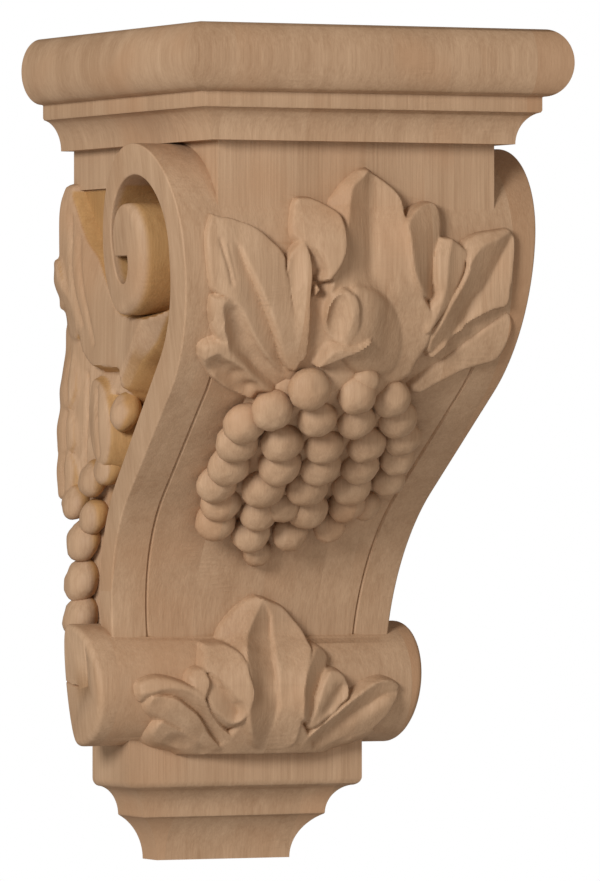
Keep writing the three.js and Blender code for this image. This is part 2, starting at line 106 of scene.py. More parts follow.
def closed(name, points, faces):
    """A closed piece of wood, with its faces turned outwards."""
    points = np.asarray(points, float)
    if enclosed_volume(points, faces) < 0:
        faces = [tuple(reversed(f)) for f in faces]
    return mesh_object(name, points, faces)


def loft(name, rings):
    """A closed solid through rings of equal count."""
    sides = len(rings[0])
    points = np.concatenate([np.asarray(r, float) for r in rings])
    faces = []
    for i in range(len(rings) - 1):
        for j in range(sides):
            a = i * sides + j
            b = i * sides + (j + 1) % sides
            faces.append((a, b, b + sides, a + sides))
    last = (len(rings) - 1) * sides
    faces.append(tuple(reversed(range(sides))))
    faces.append(tuple(range(last, last + sides)))
    return closed(name, points, faces)


def arc(centre, half_forward, half_high, start, end, steps):
    angle = np.linspace(start, end, steps + 1)
    return [(centre[0] + half_forward * math.cos(a), centre[1] - half_high * math.sin(a)) for a in angle]


# Mouldings
def mitred_moulding(name, half, forward, profile):
    """A moulding round the front and both sides, mitred at the corners, that dies on the wall."""
    rings = []
    for inset, drop in profile:
        w, d = half - inset, forward - inset
        rings.append(point([-w, -w, w, w], [0.0, d, d, 0.0], [drop] * 4))
    return loft(name, rings)


def cove(start, end, turn, steps=14):
    """A hollow that ends upright, having turned through so many degrees."""
    whole = math.radians(turn)
    profile = []
    for i in range(1, steps + 1):
        left = whole * (1 - i / steps)
        inset = start[0] + (end[0] - start[0]) * (math.cos(left) - math.cos(whole)) / (1 - math.cos(whole))
        profile.append((inset, start[1] + (end[1] - start[1]) * (1 - math.sin(left) / math.sin(whole))))
    return profile


def eased(corner, before, after, ease=EDGE_EASE):
    """A profile corner cut back a little on both sides."""
    def towards(other):
        length = math.dist(corner, other)
        share = min(ease / length, 0.45) if length else 0.0
        return (corner[0] + (other[0] - corner[0]) * share, corner[1] + (other[1] - corner[1]) * share)
    return [towards(before), towards(after)]


def cap():
    steps = 36
    profile = []
    for i in range(steps + 1):
        a = (0.5 - i / steps) * HALF_TURN
        profile.append((CAP_NOSE["jut"] * (1 - math.cos(a)), CAP_NOSE["depth"] / 2 * (1 - math.sin(a))))
    under = (CAP_FILLET["inset"], CAP_NOSE["depth"] + STEP_FALL)
    fillet = (CAP_FILLET["inset"], CAP_FILLET["drop"])
    curve = cove(fillet, (CAP_COVE["inset"], CAP_COVE["drop"]), CAP_COVE["turn"])
    profile += [under] + eased(fillet, under, curve[0]) + curve
    return mitred_moulding("cap", WIDTH / 2, DEPTH, profile)


def stepped_drop():
    steps = 8
    profile = [(0.0, DROP_BLOCK["start"])]
    for i in range(steps + 1):
        a = i / steps * QUARTER
        inset = DROP_BLOCK["round"] * (1 - math.cos(a))
        profile.append((inset, DROP_BLOCK["end"] - DROP_BLOCK["round"] * (1 - math.sin(a))))
    start = profile[-1]
    for step in DROP_COVES:
        end = (step["inset"], step["drop"])
        curve = cove(start, end, step["turn"])
        if step["drop"] < HEIGHT:
            start = (end[0] + DROP_STEP, end[1] + STEP_FALL)
            curve = curve[:-1] + eased(end, curve[-2], start, 0.4) + [start]
        profile += curve
    return mitred_moulding("stepped_drop", DROP_BLOCK["half"], DROP_BLOCK["forward"], profile)


# The S scroll
def run_lean(bulge_radius, hollow_radius):
    """The lean from upright of the straight run that touches both circles."""
    ahead = HOLLOW["at"][0] - BULGE["at"][0]
    below = HOLLOW["at"][1] - BULGE["at"][1]
    return math.asin((bulge_radius + hollow_radius) / math.hypot(ahead, below)) - math.atan2(ahead, below)


LEAN = run_lean(BULGE["radius"], HOLLOW["radius"])


def front_at(drop):
    """How far forward the front of the neck and scroll stands at a drop."""
    drop = np.asarray(drop, float)
    (cf, cd), cr = CROWN["at"], CROWN["radius"]
    (bf, bd), br = BULGE["at"], BULGE["radius"]
    (hf, hd), hr = HOLLOW["at"], HOLLOW["radius"]
    bulge_end = bd + br * math.sin(LEAN)
    hollow_start = hd - hr * math.sin(LEAN)
    crown = np.maximum(NECK["forward"], cf + np.sqrt(cr ** 2 - np.clip(cd - drop, 0, cr) ** 2))
    bulge = bf + np.sqrt(br ** 2 - np.clip(drop - bd, 0, br) ** 2)
    run_from, run_to = bf + br * math.cos(LEAN), hf - hr * math.cos(LEAN)
    run = run_from + (run_to - run_from) * (drop - bulge_end) / (hollow_start - bulge_end)
    hollow = hf - np.sqrt(hr ** 2 - np.clip(hd - drop, 0, hr) ** 2)
    below_crown = np.where(drop < bulge_end, bulge, np.where(drop < hollow_start, run, hollow))
    return np.where(drop < cd, crown, below_crown)


def side_half(drop):
    return SIDE["half"] - SIDE["taper"] * np.asarray(drop, float)


def panel_half(drop):
    return PANEL["half"] - PANEL["taper"] * np.asarray(drop, float)


def scroll_outline():
    """The scroll from the side as (forward, drop, ease) points; ease is the rounding of its side edge."""
    (cf, cd), cr = CROWN["at"], CROWN["radius"]
    inner_bulge = BULGE["radius"] - BAND["at_bulge"]
    inner_hollow = HOLLOW["radius"] + BAND["at_hollow"]
    inner_lean = run_lean(inner_bulge, inner_hollow)
    vb, vf = VOLUTE_BACK, VOLUTE_FOOT
    legs = [
        ([(HOLLOW["at"][0] - inner_hollow, SCROLL_FOOT)], EDGE_EASE),
        ([(HOLLOW["at"][0] - HOLLOW["radius"], SCROLL_FOOT)], EDGE_EASE),
        (arc(HOLLOW["at"], HOLLOW["radius"], HOLLOW["radius"], HALF_TURN, HALF_TURN - LEAN, 30), EDGE_EASE),
        (arc(BULGE["at"], BULGE["radius"], BULGE["radius"], -LEAN, 0, 30), EDGE_EASE),
        (arc((cf, cd), cr, cr, 0, QUARTER, 24)[1:], EDGE_EASE),
        (arc((cf, vb[1]), cf - vb[0], vb[1] - (cd - cr), QUARTER, HALF_TURN, 28)[1:], EDGE_EASE),
        (arc((vf[0], vb[1]), vf[0] - vb[0], vf[1] - vb[1], HALF_TURN, 1.5 * HALF_TURN, 14)[1:], 1.5),
        (arc((vf[0], CURL_FRONT[1]), CURL_FRONT[0] - vf[0], vf[1] - CURL_FRONT[1],
             1.5 * HALF_TURN, 2 * HALF_TURN, 20)[1:], CURL_EASE),
        (arc((CURL_TOP[0], CURL_FRONT[1]), CURL_FRONT[0] - CURL_TOP[0], CURL_FRONT[1] - CURL_TOP[1],
             0, QUARTER, 14)[1:], CURL_EASE),
        (arc((CURL_TOP[0], CURL_BACK[1]), CURL_TOP[0] - CURL_BACK[0], CURL_BACK[1] - CURL_TOP[1],
             QUARTER, HALF_TURN, 14)[1:], EDGE_EASE),
        ([(CURL_BACK[0], EYE["at"][1])], EDGE_EASE),
        (arc(EYE["at"], EYE["half"], EYE["depth"], 0, -HALF_TURN, 20), EDGE_EASE),
        (arc(SLOT["at"], SLOT["radius"], SLOT["radius"], HALF_TURN, 0, 36), EDGE_EASE),
        (arc(BULGE["at"], inner_bulge, inner_bulge, 0, -inner_lean, 26)[1:], EDGE_EASE),
        (arc(HOLLOW["at"], inner_hollow, inner_hollow, HALF_TURN - inner_lean, HALF_TURN, 26)[:-1],
         EDGE_EASE),
    ]
    return [(f, d, ease) for leg, ease in legs for f, d in leg]


def soften(values, rounds):
    for _ in range(rounds):
        values = (np.roll(values, 1) + 2 * values + np.roll(values, -1)) / 4
    return values


def across_both(name, outline, half_at, steps, across):
    """A side outline carried across the bracket, with eased edges where it meets the two tapering sides."""
    flat = np.array([(f, d) for f, d, _ in outline])
    ease = soften(np.array([e for _, _, e in outline]), 3)
    ahead = np.roll(flat, -1, axis=0) - flat
    ahead /= np.maximum(np.linalg.norm(ahead, axis=1, keepdims=True), 1e-6)
    out = np.stack([ahead[:, 1], -ahead[:, 0]], axis=1)
    out = out + np.roll(out, 1, axis=0)
    out /= np.maximum(np.linalg.norm(out, axis=1, keepdims=True), 0.5)
    area = np.sum(flat[:, 0] * np.roll(flat[:, 1], -1) - np.roll(flat[:, 0], -1) * flat[:, 1])
    if area < 0:
        out = -out
    rings = []
    for i in range(steps + 1):
        a = i / steps * QUARTER
        moved = flat - out * (ease * (1 - math.sin(a)))[:, None]
        back = ease * (1 - math.cos(a))
        rings.append(point(-(half_at(moved[:, 1]) - back), moved[:, 0], moved[:, 1]))
    mirrored = [ring * np.array([-1.0, 1.0, 1.0]) for ring in reversed(rings)]
    between = [rings[-1] * (1 - t) + mirrored[0] * t for t in np.linspace(0, 1, across + 2)[1:-1]]
    return loft(name, rings + between + mirrored)


def panel_core():
    """The block behind the scroll, whose two sides are the floors of the side panels."""
    front = BULGE["radius"] - PANEL["cover"]
    foot = HOLLOW["radius"] + PANEL["cover"]
    lean = run_lean(front, foot)
    outline = [(0.0, PANEL["foot"]), (HOLLOW["at"][0] - foot, PANEL["foot"])]
    outline += arc(HOLLOW["at"], foot, foot, HALF_TURN, HALF_TURN - lean, 16)
    outline += arc(BULGE["at"], front, front, -lean, 0, 16)
    outline += [(PANEL["crest"], PANEL["top"]), (0.0, PANEL["top"])]
    left = np.array(outline)
    rings = [point(s * panel_half(left[:, 1]), left[:, 0], left[:, 1]) for s in (-1, 1)]
    return loft("panel_core", rings)


def block(name, half, back, forward, start, end):
    rings = [point([-half, -half, half, half], [back, forward, forward, back], [d] * 4) for d in (start, end)]
    return loft(name, rings)


def roll():
    """The roll across the foot of the scroll: an egg in section, its rounded ends leaning like the sides."""
    sides, steps = 112, 6
    ends = []
    for i in range(steps + 1):
        a = i / steps * QUARTER
        ends.append((ROLL["round"] * (1 - math.sin(a)), ROLL["half"] - ROLL["round"] * (1 - math.cos(a))))
    profile = [(trim, -x) for trim, x in ends] + [(trim, x) for trim, x in reversed(ends)]
    turn = np.linspace(0, 2 * HALF_TURN, sides, endpoint=False)
    reach = np.where(np.cos(turn) > 0, ROLL["front"], ROLL["back"])
    rings = []
    for trim, across in profile:
        up = (ROLL["high"] - trim) * np.sin(turn)
        lean = math.copysign(SIDE["taper"], across) * up
        rings.append(point(across + lean, ROLL["at"][0] + (reach - trim) * np.cos(turn), ROLL["at"][1] - up))
    return loft("roll", rings)


def on_front(across, drop, rise):
    """The front of the scroll; its lean is taken over a few millimetres, so the relief turns smoothly."""
    step = 5.0
    slope = (front_at(drop + step) - front_at(drop - step)) / (2 * step)
    length = np.hypot(1.0, slope)
    return point(across, front_at(drop) + rise / length, drop - rise * slope / length)


def roll_front(drop):
    """The foremost surface where the scroll runs into the roll, carried on fuller below for the leaf."""
    off = np.asarray(drop, float) - ROLL["at"][1]
    high = np.where(off < 0, ROLL["high"], LEAF_FOOT)
    around = ROLL["at"][0] + ROLL["front"] * np.sqrt(1 - np.clip(off / high, -1, 1) ** 2)
    above = np.where(off < 0, front_at(drop), 0.0)
    return (above + around + np.hypot(above - around, 3.0)) / 2


def on_roll(across, drop, rise):
    return point(across, roll_front(drop) + rise, drop)


def on_roll_end(side):
    def chart(forward, drop, rise):
        half = ROLL["half"] + SIDE["taper"] * (ROLL["at"][1] - np.asarray(drop, float))
        return point(side * (half + rise), forward, drop)
    return chart


def on_side(forward, drop, rise):
    """The left side panel; the right one is its mirror."""
    return point(-(panel_half(drop) + rise), forward, drop)


def v_cut(name, chart, path, half, depth):
    """A cutter for a V line along a path on a surface; each step has its own share of the depth."""
    proud = 0.6
    ahead = np.gradient(np.array([(u, v) for u, v, _ in path], float), axis=0)
    rings = []
    for (u, v, share), (du, dv) in zip(path, ahead):
        length = math.hypot(du, dv)
        wide = half * share * (1 + proud / (depth * share))
        nu, nv = -dv / length * wide, du / length * wide
        rings.append([chart(u - nu, v - nv, proud), chart(u + nu, v + nv, proud),
                      chart(u, v, -depth * share)])
    return loft(name, rings)


def groove(side):
    """The line that parts a side band from the field of the front."""
    drops = np.linspace(GROOVE["start"], GROOVE["end"], 60)
    path = [(side * (side_half(d) - GROOVE["inset"]), d, 1.0) for d in drops]
    return v_cut("groove", on_front, path, GROOVE["half"], GROOVE["depth"])


def roll_end_lines(side):
    """On the roll's end: the line of its curl from the back to a small pit, and a tool line in front."""
    curl = [(15.0, 237.5, 1.0), (19.0, 238.0, 0.6), (24.0, 239.0, 0.4), (27.0, 239.3, 1.0),
            (29.5, 239.6, 0.8)]
    front = [(38.0, 222.0, 0.3), (38.2, 228.0, 1.0), (38.3, 234.0, 0.8), (38.0, 239.0, 0.2)]
    chart = on_roll_end(side)
    return [v_cut("curl_line", chart, curl, 0.9, 1.3), v_cut("front_line", chart, front, 0.8, 0.7)]


# Carved relief
def smooth_outline(corners, steps=7):
    """A closed curve through the given points; a point given twice stays sharp."""
    p = np.asarray(corners, float)
    n = len(p)
    curve = []
    for i in range(n):
        a, b, c, d = p[i - 1], p[i], p[(i + 1) % n], p[(i + 2) % n]
        if np.allclose(b, c):
            continue
        for t in np.linspace(0, 1, steps, endpoint=False):
            curve.append(0.5 * (2 * b + (c - a) * t + (2 * a - 5 * b + 4 * c - d) * t ** 2
                                + (3 * b - a - 3 * c + d) * t ** 3))
    return np.array(curve)


def path_distance(a, b, path, loop=False):
    """The distance from each grid point to a path of straight pieces."""
    ends = np.roll(path, -1, axis=0) if loop else path[1:]
    starts = path if loop else path[:-1]
    near = np.full(a.shape, 1e9)
    for (x0, y0), (x1, y1) in zip(starts, ends):
        dx, dy = x1 - x0, y1 - y0
        length = max(dx * dx + dy * dy, 1e-9)
        t = np.clip(((a - x0) * dx + (b - y0) * dy) / length, 0, 1)
        near = np.minimum(near, (a - x0 - t * dx) ** 2 + (b - y0 - t * dy) ** 2)
    return np.sqrt(near)


def inside(a, b, path):
    odd = np.zeros(a.shape, bool)
    for (x0, y0), (x1, y1) in zip(path, np.roll(path, -1, axis=0)):
        crosses = (y0 > b) != (y1 > b)
        with np.errstate(divide="ignore", invalid="ignore"):
            at = x0 + (b - y0) * (x1 - x0) / (y1 - y0)
        odd ^= crosses & (a < at)
    return odd


def facet(a, b, knots):
    """A smooth surface over the grid through knots of (across, down, height)."""
    k = np.asarray(knots, float)
    n = len(k)

    def bend(x, y):
        r2 = x ** 2 + y ** 2
        return np.where(r2 > 0, r2 * np.log(np.maximum(r2, 1e-12)), 0.0)

    plane = np.column_stack([np.ones(n), k[:, 0], k[:, 1]])
    system = np.zeros((n + 3, n + 3))
    system[:n, :n] = bend(k[:, 0, None] - k[None, :, 0], k[:, 1, None] - k[None, :, 1]) + 0.5 * np.eye(n)
    system[:n, n:] = plane
    system[n:, :n] = plane.T
    weights = np.linalg.solve(system, np.concatenate([k[:, 2], np.zeros(3)]))
    height = weights[n] + weights[n + 1] * a + weights[n + 2] * b
    for w, (x, y, _) in zip(weights, k):
        height = height + w * bend(a - x, b - y)
    return height


def lobe_height(a, b, lobe):
    """The height of one carved lobe: facets inside the outline, a rounded edge and a steep wall outside."""
    path = smooth_outline(lobe["edge"])
    away = path_distance(a, b, path, loop=True)
    within = inside(a, b, path)
    height = facet(a, b, lobe["facets"][0])
    for knots in lobe["facets"][1:]:
        height = np.minimum(height, facet(a, b, knots))
    rounding = lobe.get("round", 1.2)
    share = np.clip(away / rounding, 0, 1)
    fall = rounding * (1 - np.sqrt(1 - (1 - share) ** 2))
    for (x, y), (hx, hy), depth in lobe.get("scoops", []):
        reach = ((a - x) / hx) ** 2 + ((b - y) / hy) ** 2
        height = height - depth * np.clip(1 - reach, 0, 1) ** 0.7
    for line, half, depth in lobe.get("veins", []):
        height = height - depth * np.clip(1 - path_distance(a, b, np.asarray(line, float)) / half, 0, 1)
    wall = lobe.get("wall", 3.2)
    return np.where(within, height - fall, height - rounding - wall * away)


BURIED = -4.0
SHELL = 2.0
JOIN = 0.45
KEPT_ABOVE = 3.2
LEAF_STEP = 0.55
SIDE_LEAF_STEP = 0.85
MOUND_STEP = 1.6
ROLL_LEAF_BOTTOM = -10.0


def soft_top(a, b, ease):
    """The higher of two heights, eased where they meet."""
    share = np.clip(0.5 + 0.5 * (b - a) / ease, 0, 1)
    return a * (1 - share) + b * share + ease * share * (1 - share)


def worn(height):
    """The relief with its edges sanded a little."""
    for axis in (0, 1):
        height = np.swapaxes(height, 0, axis)
        padded = np.pad(height, ((1, 1), (0, 0)), mode="edge")
        height = np.swapaxes((padded[:-2] + 6 * height + padded[2:]) / 8, 0, axis)
    return height


def relief(name, chart, span, step, lobes, side=1, bottom=BURIED):
    """Lobes laid over one another on a surface, as a closed shell whose underside is sunk into the wood."""
    (a0, a1), (b0, b1) = span
    a, b = np.meshgrid(np.arange(a0, a1, step), np.arange(b0, b1, step))
    height = np.full(a.shape, bottom)
    for lobe in lobes.values():
        height = soft_top(height, lobe_height(a, b, lobe), lobe.get("blend", JOIN))
    height = worn(height)
    rows, columns = a.shape
    proud = height > bottom + KEPT_ABOVE
    cell = proud[:-1, :-1] | proud[1:, :-1] | proud[:-1, 1:] | proud[1:, 1:]
    for _ in range(2):
        grown = cell.copy()
        grown[1:] |= cell[:-1]
        grown[:-1] |= cell[1:]
        grown[:, 1:] |= cell[:, :-1]
        grown[:, :-1] |= cell[:, 1:]
        cell = grown
    cell[0] = cell[-1] = False
    cell[:, 0] = cell[:, -1] = False
    for _ in range(6):
        cross = cell[:-1, :-1] & cell[1:, 1:] & ~cell[1:, :-1] & ~cell[:-1, 1:]
        other = ~cell[:-1, :-1] & ~cell[1:, 1:] & cell[1:, :-1] & cell[:-1, 1:]
        fix = cross | other
        if not fix.any():
            break
        cell[:-1, :-1] |= fix
        cell[1:, 1:] |= fix
        cell[1:, :-1] |= fix
        cell[:-1, 1:] |= fix
    top = chart(a, b, height).reshape(-1, 3)
    under = chart(a, b, np.full(a.shape, bottom - SHELL)).reshape(-1, 3)
    index = np.full(rows * columns, -1)
    used = np.zeros((rows, columns), bool)
    used[:-1, :-1] |= cell
    used[1:, :-1] |= cell
    used[:-1, 1:] |= cell
    used[1:, 1:] |= cell
    keep = np.flatnonzero(used.ravel())
    index[keep] = np.arange(len(keep))
    shift = len(keep)
    faces = []
    here = np.argwhere(cell)
    for i, j in here:
        p = index[i * columns + j]
        q = index[i * columns + j + 1]
        r = index[(i + 1) * columns + j + 1]
        s = index[(i + 1) * columns + j]
        faces.append((p, q, r, s))
        faces.append((s + shift, r + shift, q + shift, p + shift))
        if not cell[i - 1, j]:
            faces.append((q, p, p + shift, q + shift))
        if not cell[i + 1, j]:
            faces.append((s, r, r + shift, s + shift))
        if not cell[i, j - 1]:
            faces.append((p, s, s + shift, p + shift))
        if not cell[i, j + 1]:
            faces.append((r, q, q + shift, r + shift))
    points = np.concatenate([top[keep], under[keep]])
    points[:, 0] *= side
    return closed(name, points, faces)


# The leaf on the front: outlines and heights as (across, drop) and (across, drop, height)
FRONT_LEAF = {
    "heart": {
        "round": 3.0, "wall": 1.2,
        "edge": [(-24, 96), (-10, 97), (3, 98), (16, 99), (27, 98), (31, 106), (27, 118), (24, 124),
                 (8, 130), (-10, 130), (-25, 124), (-28, 112)],
        "facets": [[(-24, 98, 3.6), (-16, 104, 3.4), (-5, 98, 3), (12, 99, 2.6), (27, 100, 4),
                    (-26, 120, 4.4), (0, 126, 6), (24, 120, 5), (0, 110, 5)]],
    },
    "centre_left": {
        "round": 0.8,
        "edge": [(3, 51.5), (3, 51.5), (7.5, 57), (8, 66), (7, 77), (6, 87.5), (6, 98), (-7.5, 99),
                 (-14, 96), (-13, 88), (-11.5, 79), (-10.5, 70), (-12, 63), (-9, 59), (-5.5, 55),
                 (-0.5, 51.5)],
        "facets": [[(-11, 63, 1.4), (-8.5, 59, 1.6), (-4.5, 55, 2), (0, 52, 2.8), (1.5, 52.5, 4.8),
                    (-3.5, 57, 5), (-5, 62.5, 5.4), (-6.5, 69, 5.7), (-8, 74, 5.9), (-9.5, 69, 3.4)],
                   [(1.5, 52.5, 4.6), (-3.5, 57, 4.9), (-5, 62.5, 5.4), (-6.5, 69, 5.7), (-8, 74, 5.9),
                    (-9, 80.5, 5.9), (-11, 88, 5.7), (4.5, 55, 2.4), (5, 62.5, 1.4), (4, 73.5, 1),
                    (3.5, 84, 1), (2.5, 92.5, 1.6)]],
    },
    "centre_right": {
        "round": 0.8, "blend": 1.2,
        "edge": [(3, 51.5), (3, 51.5), (9.5, 55.5), (14, 59.5), (16, 64), (16, 69), (16.5, 73),
                 (17.5, 77.5), (18, 84), (20, 90.5), (23, 95.5), (26.5, 100.5), (28.5, 108), (27.5, 114),
                 (21, 111.5), (14, 105), (5, 101.5), (2.5, 96), (2, 87.5), (2.5, 77), (3.5, 66), (4, 57)],
        "facets": [[(4, 52.5, 3.4), (4.5, 55, 2.2), (5, 62.5, 1.3), (4, 73.5, 1), (3.5, 84, 1),
                    (3, 92.5, 1.6), (9.5, 56, 3.6), (14, 60, 4.8), (15.5, 65.5, 5.1), (15, 71.5, 5.7),
                    (16.5, 77.5, 6.5), (17.5, 84.5, 6.7), (20.5, 91.5, 6.4), (12.5, 97, 4.6), (23.5, 97, 6),
                    (26.5, 102.5, 6.2), (27.5, 109.5, 5), (22, 110, 4), (15, 103.5, 3.6), (10, 77, 3.8)]],
    },
    "left_fold": {
        "round": 1.0,
        "edge": [(-25, 62), (-25, 62), (-20, 62), (-15.5, 64), (-12.5, 66.5), (-10.5, 69), (-9.5, 73),
                 (-9.5, 79.5), (-10.5, 83.5), (-12.5, 87), (-15, 90), (-17.5, 93), (-19.5, 96.5), (-20, 94),
                 (-21, 89.5), (-21.5, 83.5), (-24, 79), (-26, 77.5), (-28, 75.5), (-28, 71), (-26.5, 65)],
        "facets": [[(-25, 62.5, 2.8), (-27, 68.5, 2.6), (-28.5, 75, 2.8), (-20, 63, 3.6), (-16, 64.5, 4.4),
                    (-12.5, 68, 6), (-10.5, 73, 8), (-11, 79.5, 9), (-13, 86, 9), (-17.5, 91.5, 8.2),
                    (-20, 95, 7), (-19, 72.5, 5.6), (-17.5, 77.5, 7), (-24, 76.5, 4.2), (-16, 84.5, 8.2)],
                   [(-23.5, 78, 5.2), (-20.5, 79.5, 6.4), (-18, 82.5, 7.4), (-16.5, 86.5, 8),
                    (-17.5, 90.5, 8), (-19, 93.5, 7.4), (-21, 82, 3.6), (-19, 84.5, 3.8), (-17.5, 88, 3.6),
                    (-17.5, 91.5, 2.4), (-18, 94, 1.2), (-20.5, 87, 3), (-19.5, 91, 1.6), (-14.5, 79.5, 14),
                    (-14.5, 87.5, 14), (-26, 72.5, 5)]],
        "scoops": [((-18, 93.5), (1, 2.4), 2.0)],
    },
    "left_small": {
        "round": 0.9, "blend": 1.2,
        "edge": [(-25, 77.5), (-23.5, 79.5), (-22.5, 83.5), (-22, 89), (-22, 97), (-21, 106.5), (-20, 113),
                 (-20.5, 117), (-23.5, 116), (-27, 107), (-28.5, 97.5), (-30, 91), (-30.5, 85.5),
                 (-29, 81.5)],
        "facets": [[(-24, 79, 5.2), (-23, 83.5, 6.4), (-22.5, 90, 7), (-22, 98.5, 7.2), (-21, 108, 7.4),
                    (-20.5, 114.5, 7), (-29, 82.5, 3.9), (-30, 86, 3.7), (-29.5, 92.5, 3.8), (-28, 99, 4.6),
                    (-26, 108.5, 6), (-23.5, 115, 6.4), (-24, 106.5, 6.8)]],
        "scoops": [((-27.5, 87.5), (2.6, 7), 1.1)],
    },
    "left_long_right": {
        "round": 0.5, "wall": 5.0,
        "edge": [(-54.5, 69.5), (-49.5, 70.5), (-44.5, 72), (-40, 74.5), (-36.5, 77.5), (-33.5, 80),
                 (-31.5, 83), (-31, 87), (-29.5, 92.5), (-28.5, 97.5), (-25.5, 107), (-22, 113.5),
                 (-22, 119), (-24.5, 120), (-28, 117), (-30, 113.5), (-35, 104.5), (-40.5, 95.5),
                 (-45.5, 87), (-49, 80), (-51.5, 77), (-54, 73.5)],
        "facets": [[(-53.5, 70, 2.5), (-49.5, 70.5, 2.5), (-44.5, 72.5, 2.9), (-40.5, 75.5, 3.1),
                    (-36.5, 78, 3.3), (-33.5, 80.5, 3.5), (-31.5, 84, 3.6), (-30.5, 88, 3.7),
                    (-28.5, 97.5, 4.6), (-25, 107, 6), (-23, 113.5, 6.6), (-51.5, 77, 2.8), (-49, 80, 3.4),
                    (-45.5, 87, 4.4), (-40.5, 95.5, 5.2), (-35, 104.5, 5.8), (-30, 113.5, 6.2),
                    (-28, 117, 6.4)]],
    },
    "left_long_left": {
        "round": 0.9,
        "edge": [(-59, 68), (-59, 68), (-54.5, 69.5), (-49, 70.5), (-44, 77), (-39, 87), (-33, 98.5),
                 (-28, 109), (-23.5, 118.5), (-23.5, 122.5), (-30, 120), (-37, 114.5), (-42, 109),
                 (-46, 103.5), (-50, 99), (-54, 97), (-57.5, 95.5), (-59.5, 93), (-61, 85), (-61.5, 75.5)],
        "facets": [[(-60.5, 72.5, 2), (-61, 84.5, 2.2), (-58.5, 94, 2.6), (-54, 70.5, 2.6),
                    (-54.5, 85, 3.4), (-52, 92.5, 3.8), (-50.5, 77.5, 2.7), (-48.5, 81, 1.9),
                    (-44, 88, 1.3), (-38.5, 97.5, 1), (-32.5, 107, 1.1), (-27.5, 116, 2), (-25.5, 120, 3.4),
                    (-49, 94.5, 3.9), (-45.5, 103.5, 4), (-40.5, 110, 4.2), (-34, 116.5, 4.6)]],
        "veins": [([(-56.5, 77.5), (-55.5, 81.5), (-53.5, 87), (-52, 92.5)], 1.0, 0.8),
                  ([(-53.5, 79), (-52, 85), (-50.5, 91)], 0.7, 0.35)],
    },
    "left_cup": {
        "round": 0.9,
        "edge": [(-59, 97.5), (-58, 97), (-55, 97), (-51, 98.5), (-46.5, 101), (-43, 106.5), (-37.5, 113),
                 (-29.5, 119.5), (-23.5, 124.5), (-28, 127.5), (-38, 124), (-46, 119), (-51, 116),
                 (-53, 113.5), (-56.5, 108), (-58.5, 102.5)],
        "facets": [[(-59, 98, 3.2), (-58.5, 103, 3.6), (-56, 108.5, 3.8), (-53, 113, 3.8),
                    (-55.5, 99.5, 4.8), (-54, 104.5, 5), (-51.5, 110.5, 4.8), (-52, 98.5, 4.6),
                    (-47.5, 101, 4.6), (-49, 107.5, 9)],
                   [(-55.5, 99.5, 4.8), (-54, 104.5, 5), (-51.5, 110.5, 4.8), (-48.5, 115, 4.4),
                    (-51, 102.5, 1.6), (-50, 107, 1), (-48, 111.5, 1), (-46, 107, 0.9), (-42.5, 113, 1),
                    (-38.5, 117.5, 1.4), (-32.5, 122.5, 2.6), (-51, 99, 3.8), (-46.5, 101.5, 3.4),
                    (-43, 106.5, 2.8), (-38, 113, 2.6), (-30, 119.5, 3.4), (-60.5, 102, 9)]],
    },
    "left_low": {
        "round": 0.7,
        "edge": [(-59.5, 115.5), (-59.5, 114), (-57, 112.5), (-52.5, 112.5), (-49, 114.5), (-43, 118),
                 (-36, 122.5), (-28.5, 126.5), (-26, 129), (-29, 132.5), (-35.5, 131), (-41, 129.5),
                 (-46.5, 127.5), (-52.5, 124), (-57, 120)],
        "facets": [[(-59, 114.5, 4.4), (-56.5, 113.5, 4.8), (-52.5, 113.5, 5), (-48, 115.5, 5.2),
                    (-41.5, 119.5, 5.4), (-33.5, 125, 5.8), (-57.5, 116.5, 5), (-56, 115.5, 5.4),
                    (-53, 115, 5.6), (-49.5, 117, 5.8), (-44.5, 119, 5.8), (-38.5, 123, 6),
                    (-32, 126.5, 6.2), (-50.5, 121.5, 9)],
                   [(-57.5, 116.5, 5), (-56, 115.5, 5.4), (-53, 115, 5.6), (-49.5, 117, 5.8),
                    (-44.5, 119, 5.8), (-38.5, 123, 6), (-32, 126.5, 6.2), (-56.5, 120, 3.4),
                    (-52, 123.5, 3.4), (-46, 127, 3.4), (-39, 130, 3.4), (-34, 130.5, 3.6),
                    (-29, 131.5, 3.8), (-53.5, 120, 1.8), (-49.5, 120.5, 1.4), (-44, 123, 1.4),
                    (-37, 127, 1.6), (-31.5, 130, 2.4), (-47.5, 123.5, 1.8), (-40.5, 127, 1.9),
                    (-59, 111, 9), (-52, 111.5, 9), (-42.5, 117, 9)]],
    },
    "right_fold": {
        "round": 1.0,
        "edge": [(15, 72.5), (18, 69), (21.5, 65.5), (26, 63.5), (30, 64), (31, 67.5), (31, 72),
                 (30.5, 78.5), (30, 85.5), (31, 91), (31.5, 96.5), (27, 97.5), (21.5, 94), (17.5, 88.5),
                 (16, 80.5), (15.5, 76.5)],
        "facets": [[(18.5, 69, 6.8), (16.5, 76, 8.2), (16, 80.5, 8.6), (18, 87.5, 8.4), (22.5, 93, 7),
                    (27, 64.5, 4.8), (30, 67.5, 4.2), (30.5, 73, 3.6), (30, 78.5, 3), (29.5, 84.5, 2.4),
                    (29.5, 91, 1.2), (29.5, 95.5, 1.4), (22.5, 66, 5.8), (23, 80.5, 5.6)]],
        "scoops": [((29.5, 93.5), (1.3, 2.8), 1.6)],
    },
    "right_small": {
        "round": 0.8,
        "edge": [(30, 76), (30, 76), (35, 77), (40, 80.5), (39.5, 84.5), (38.5, 88.5), (35.5, 94.5),
                 (33, 99), (30, 104), (26.5, 108), (25, 105), (26.5, 99.5), (29, 95.5), (28, 90), (28, 81)],
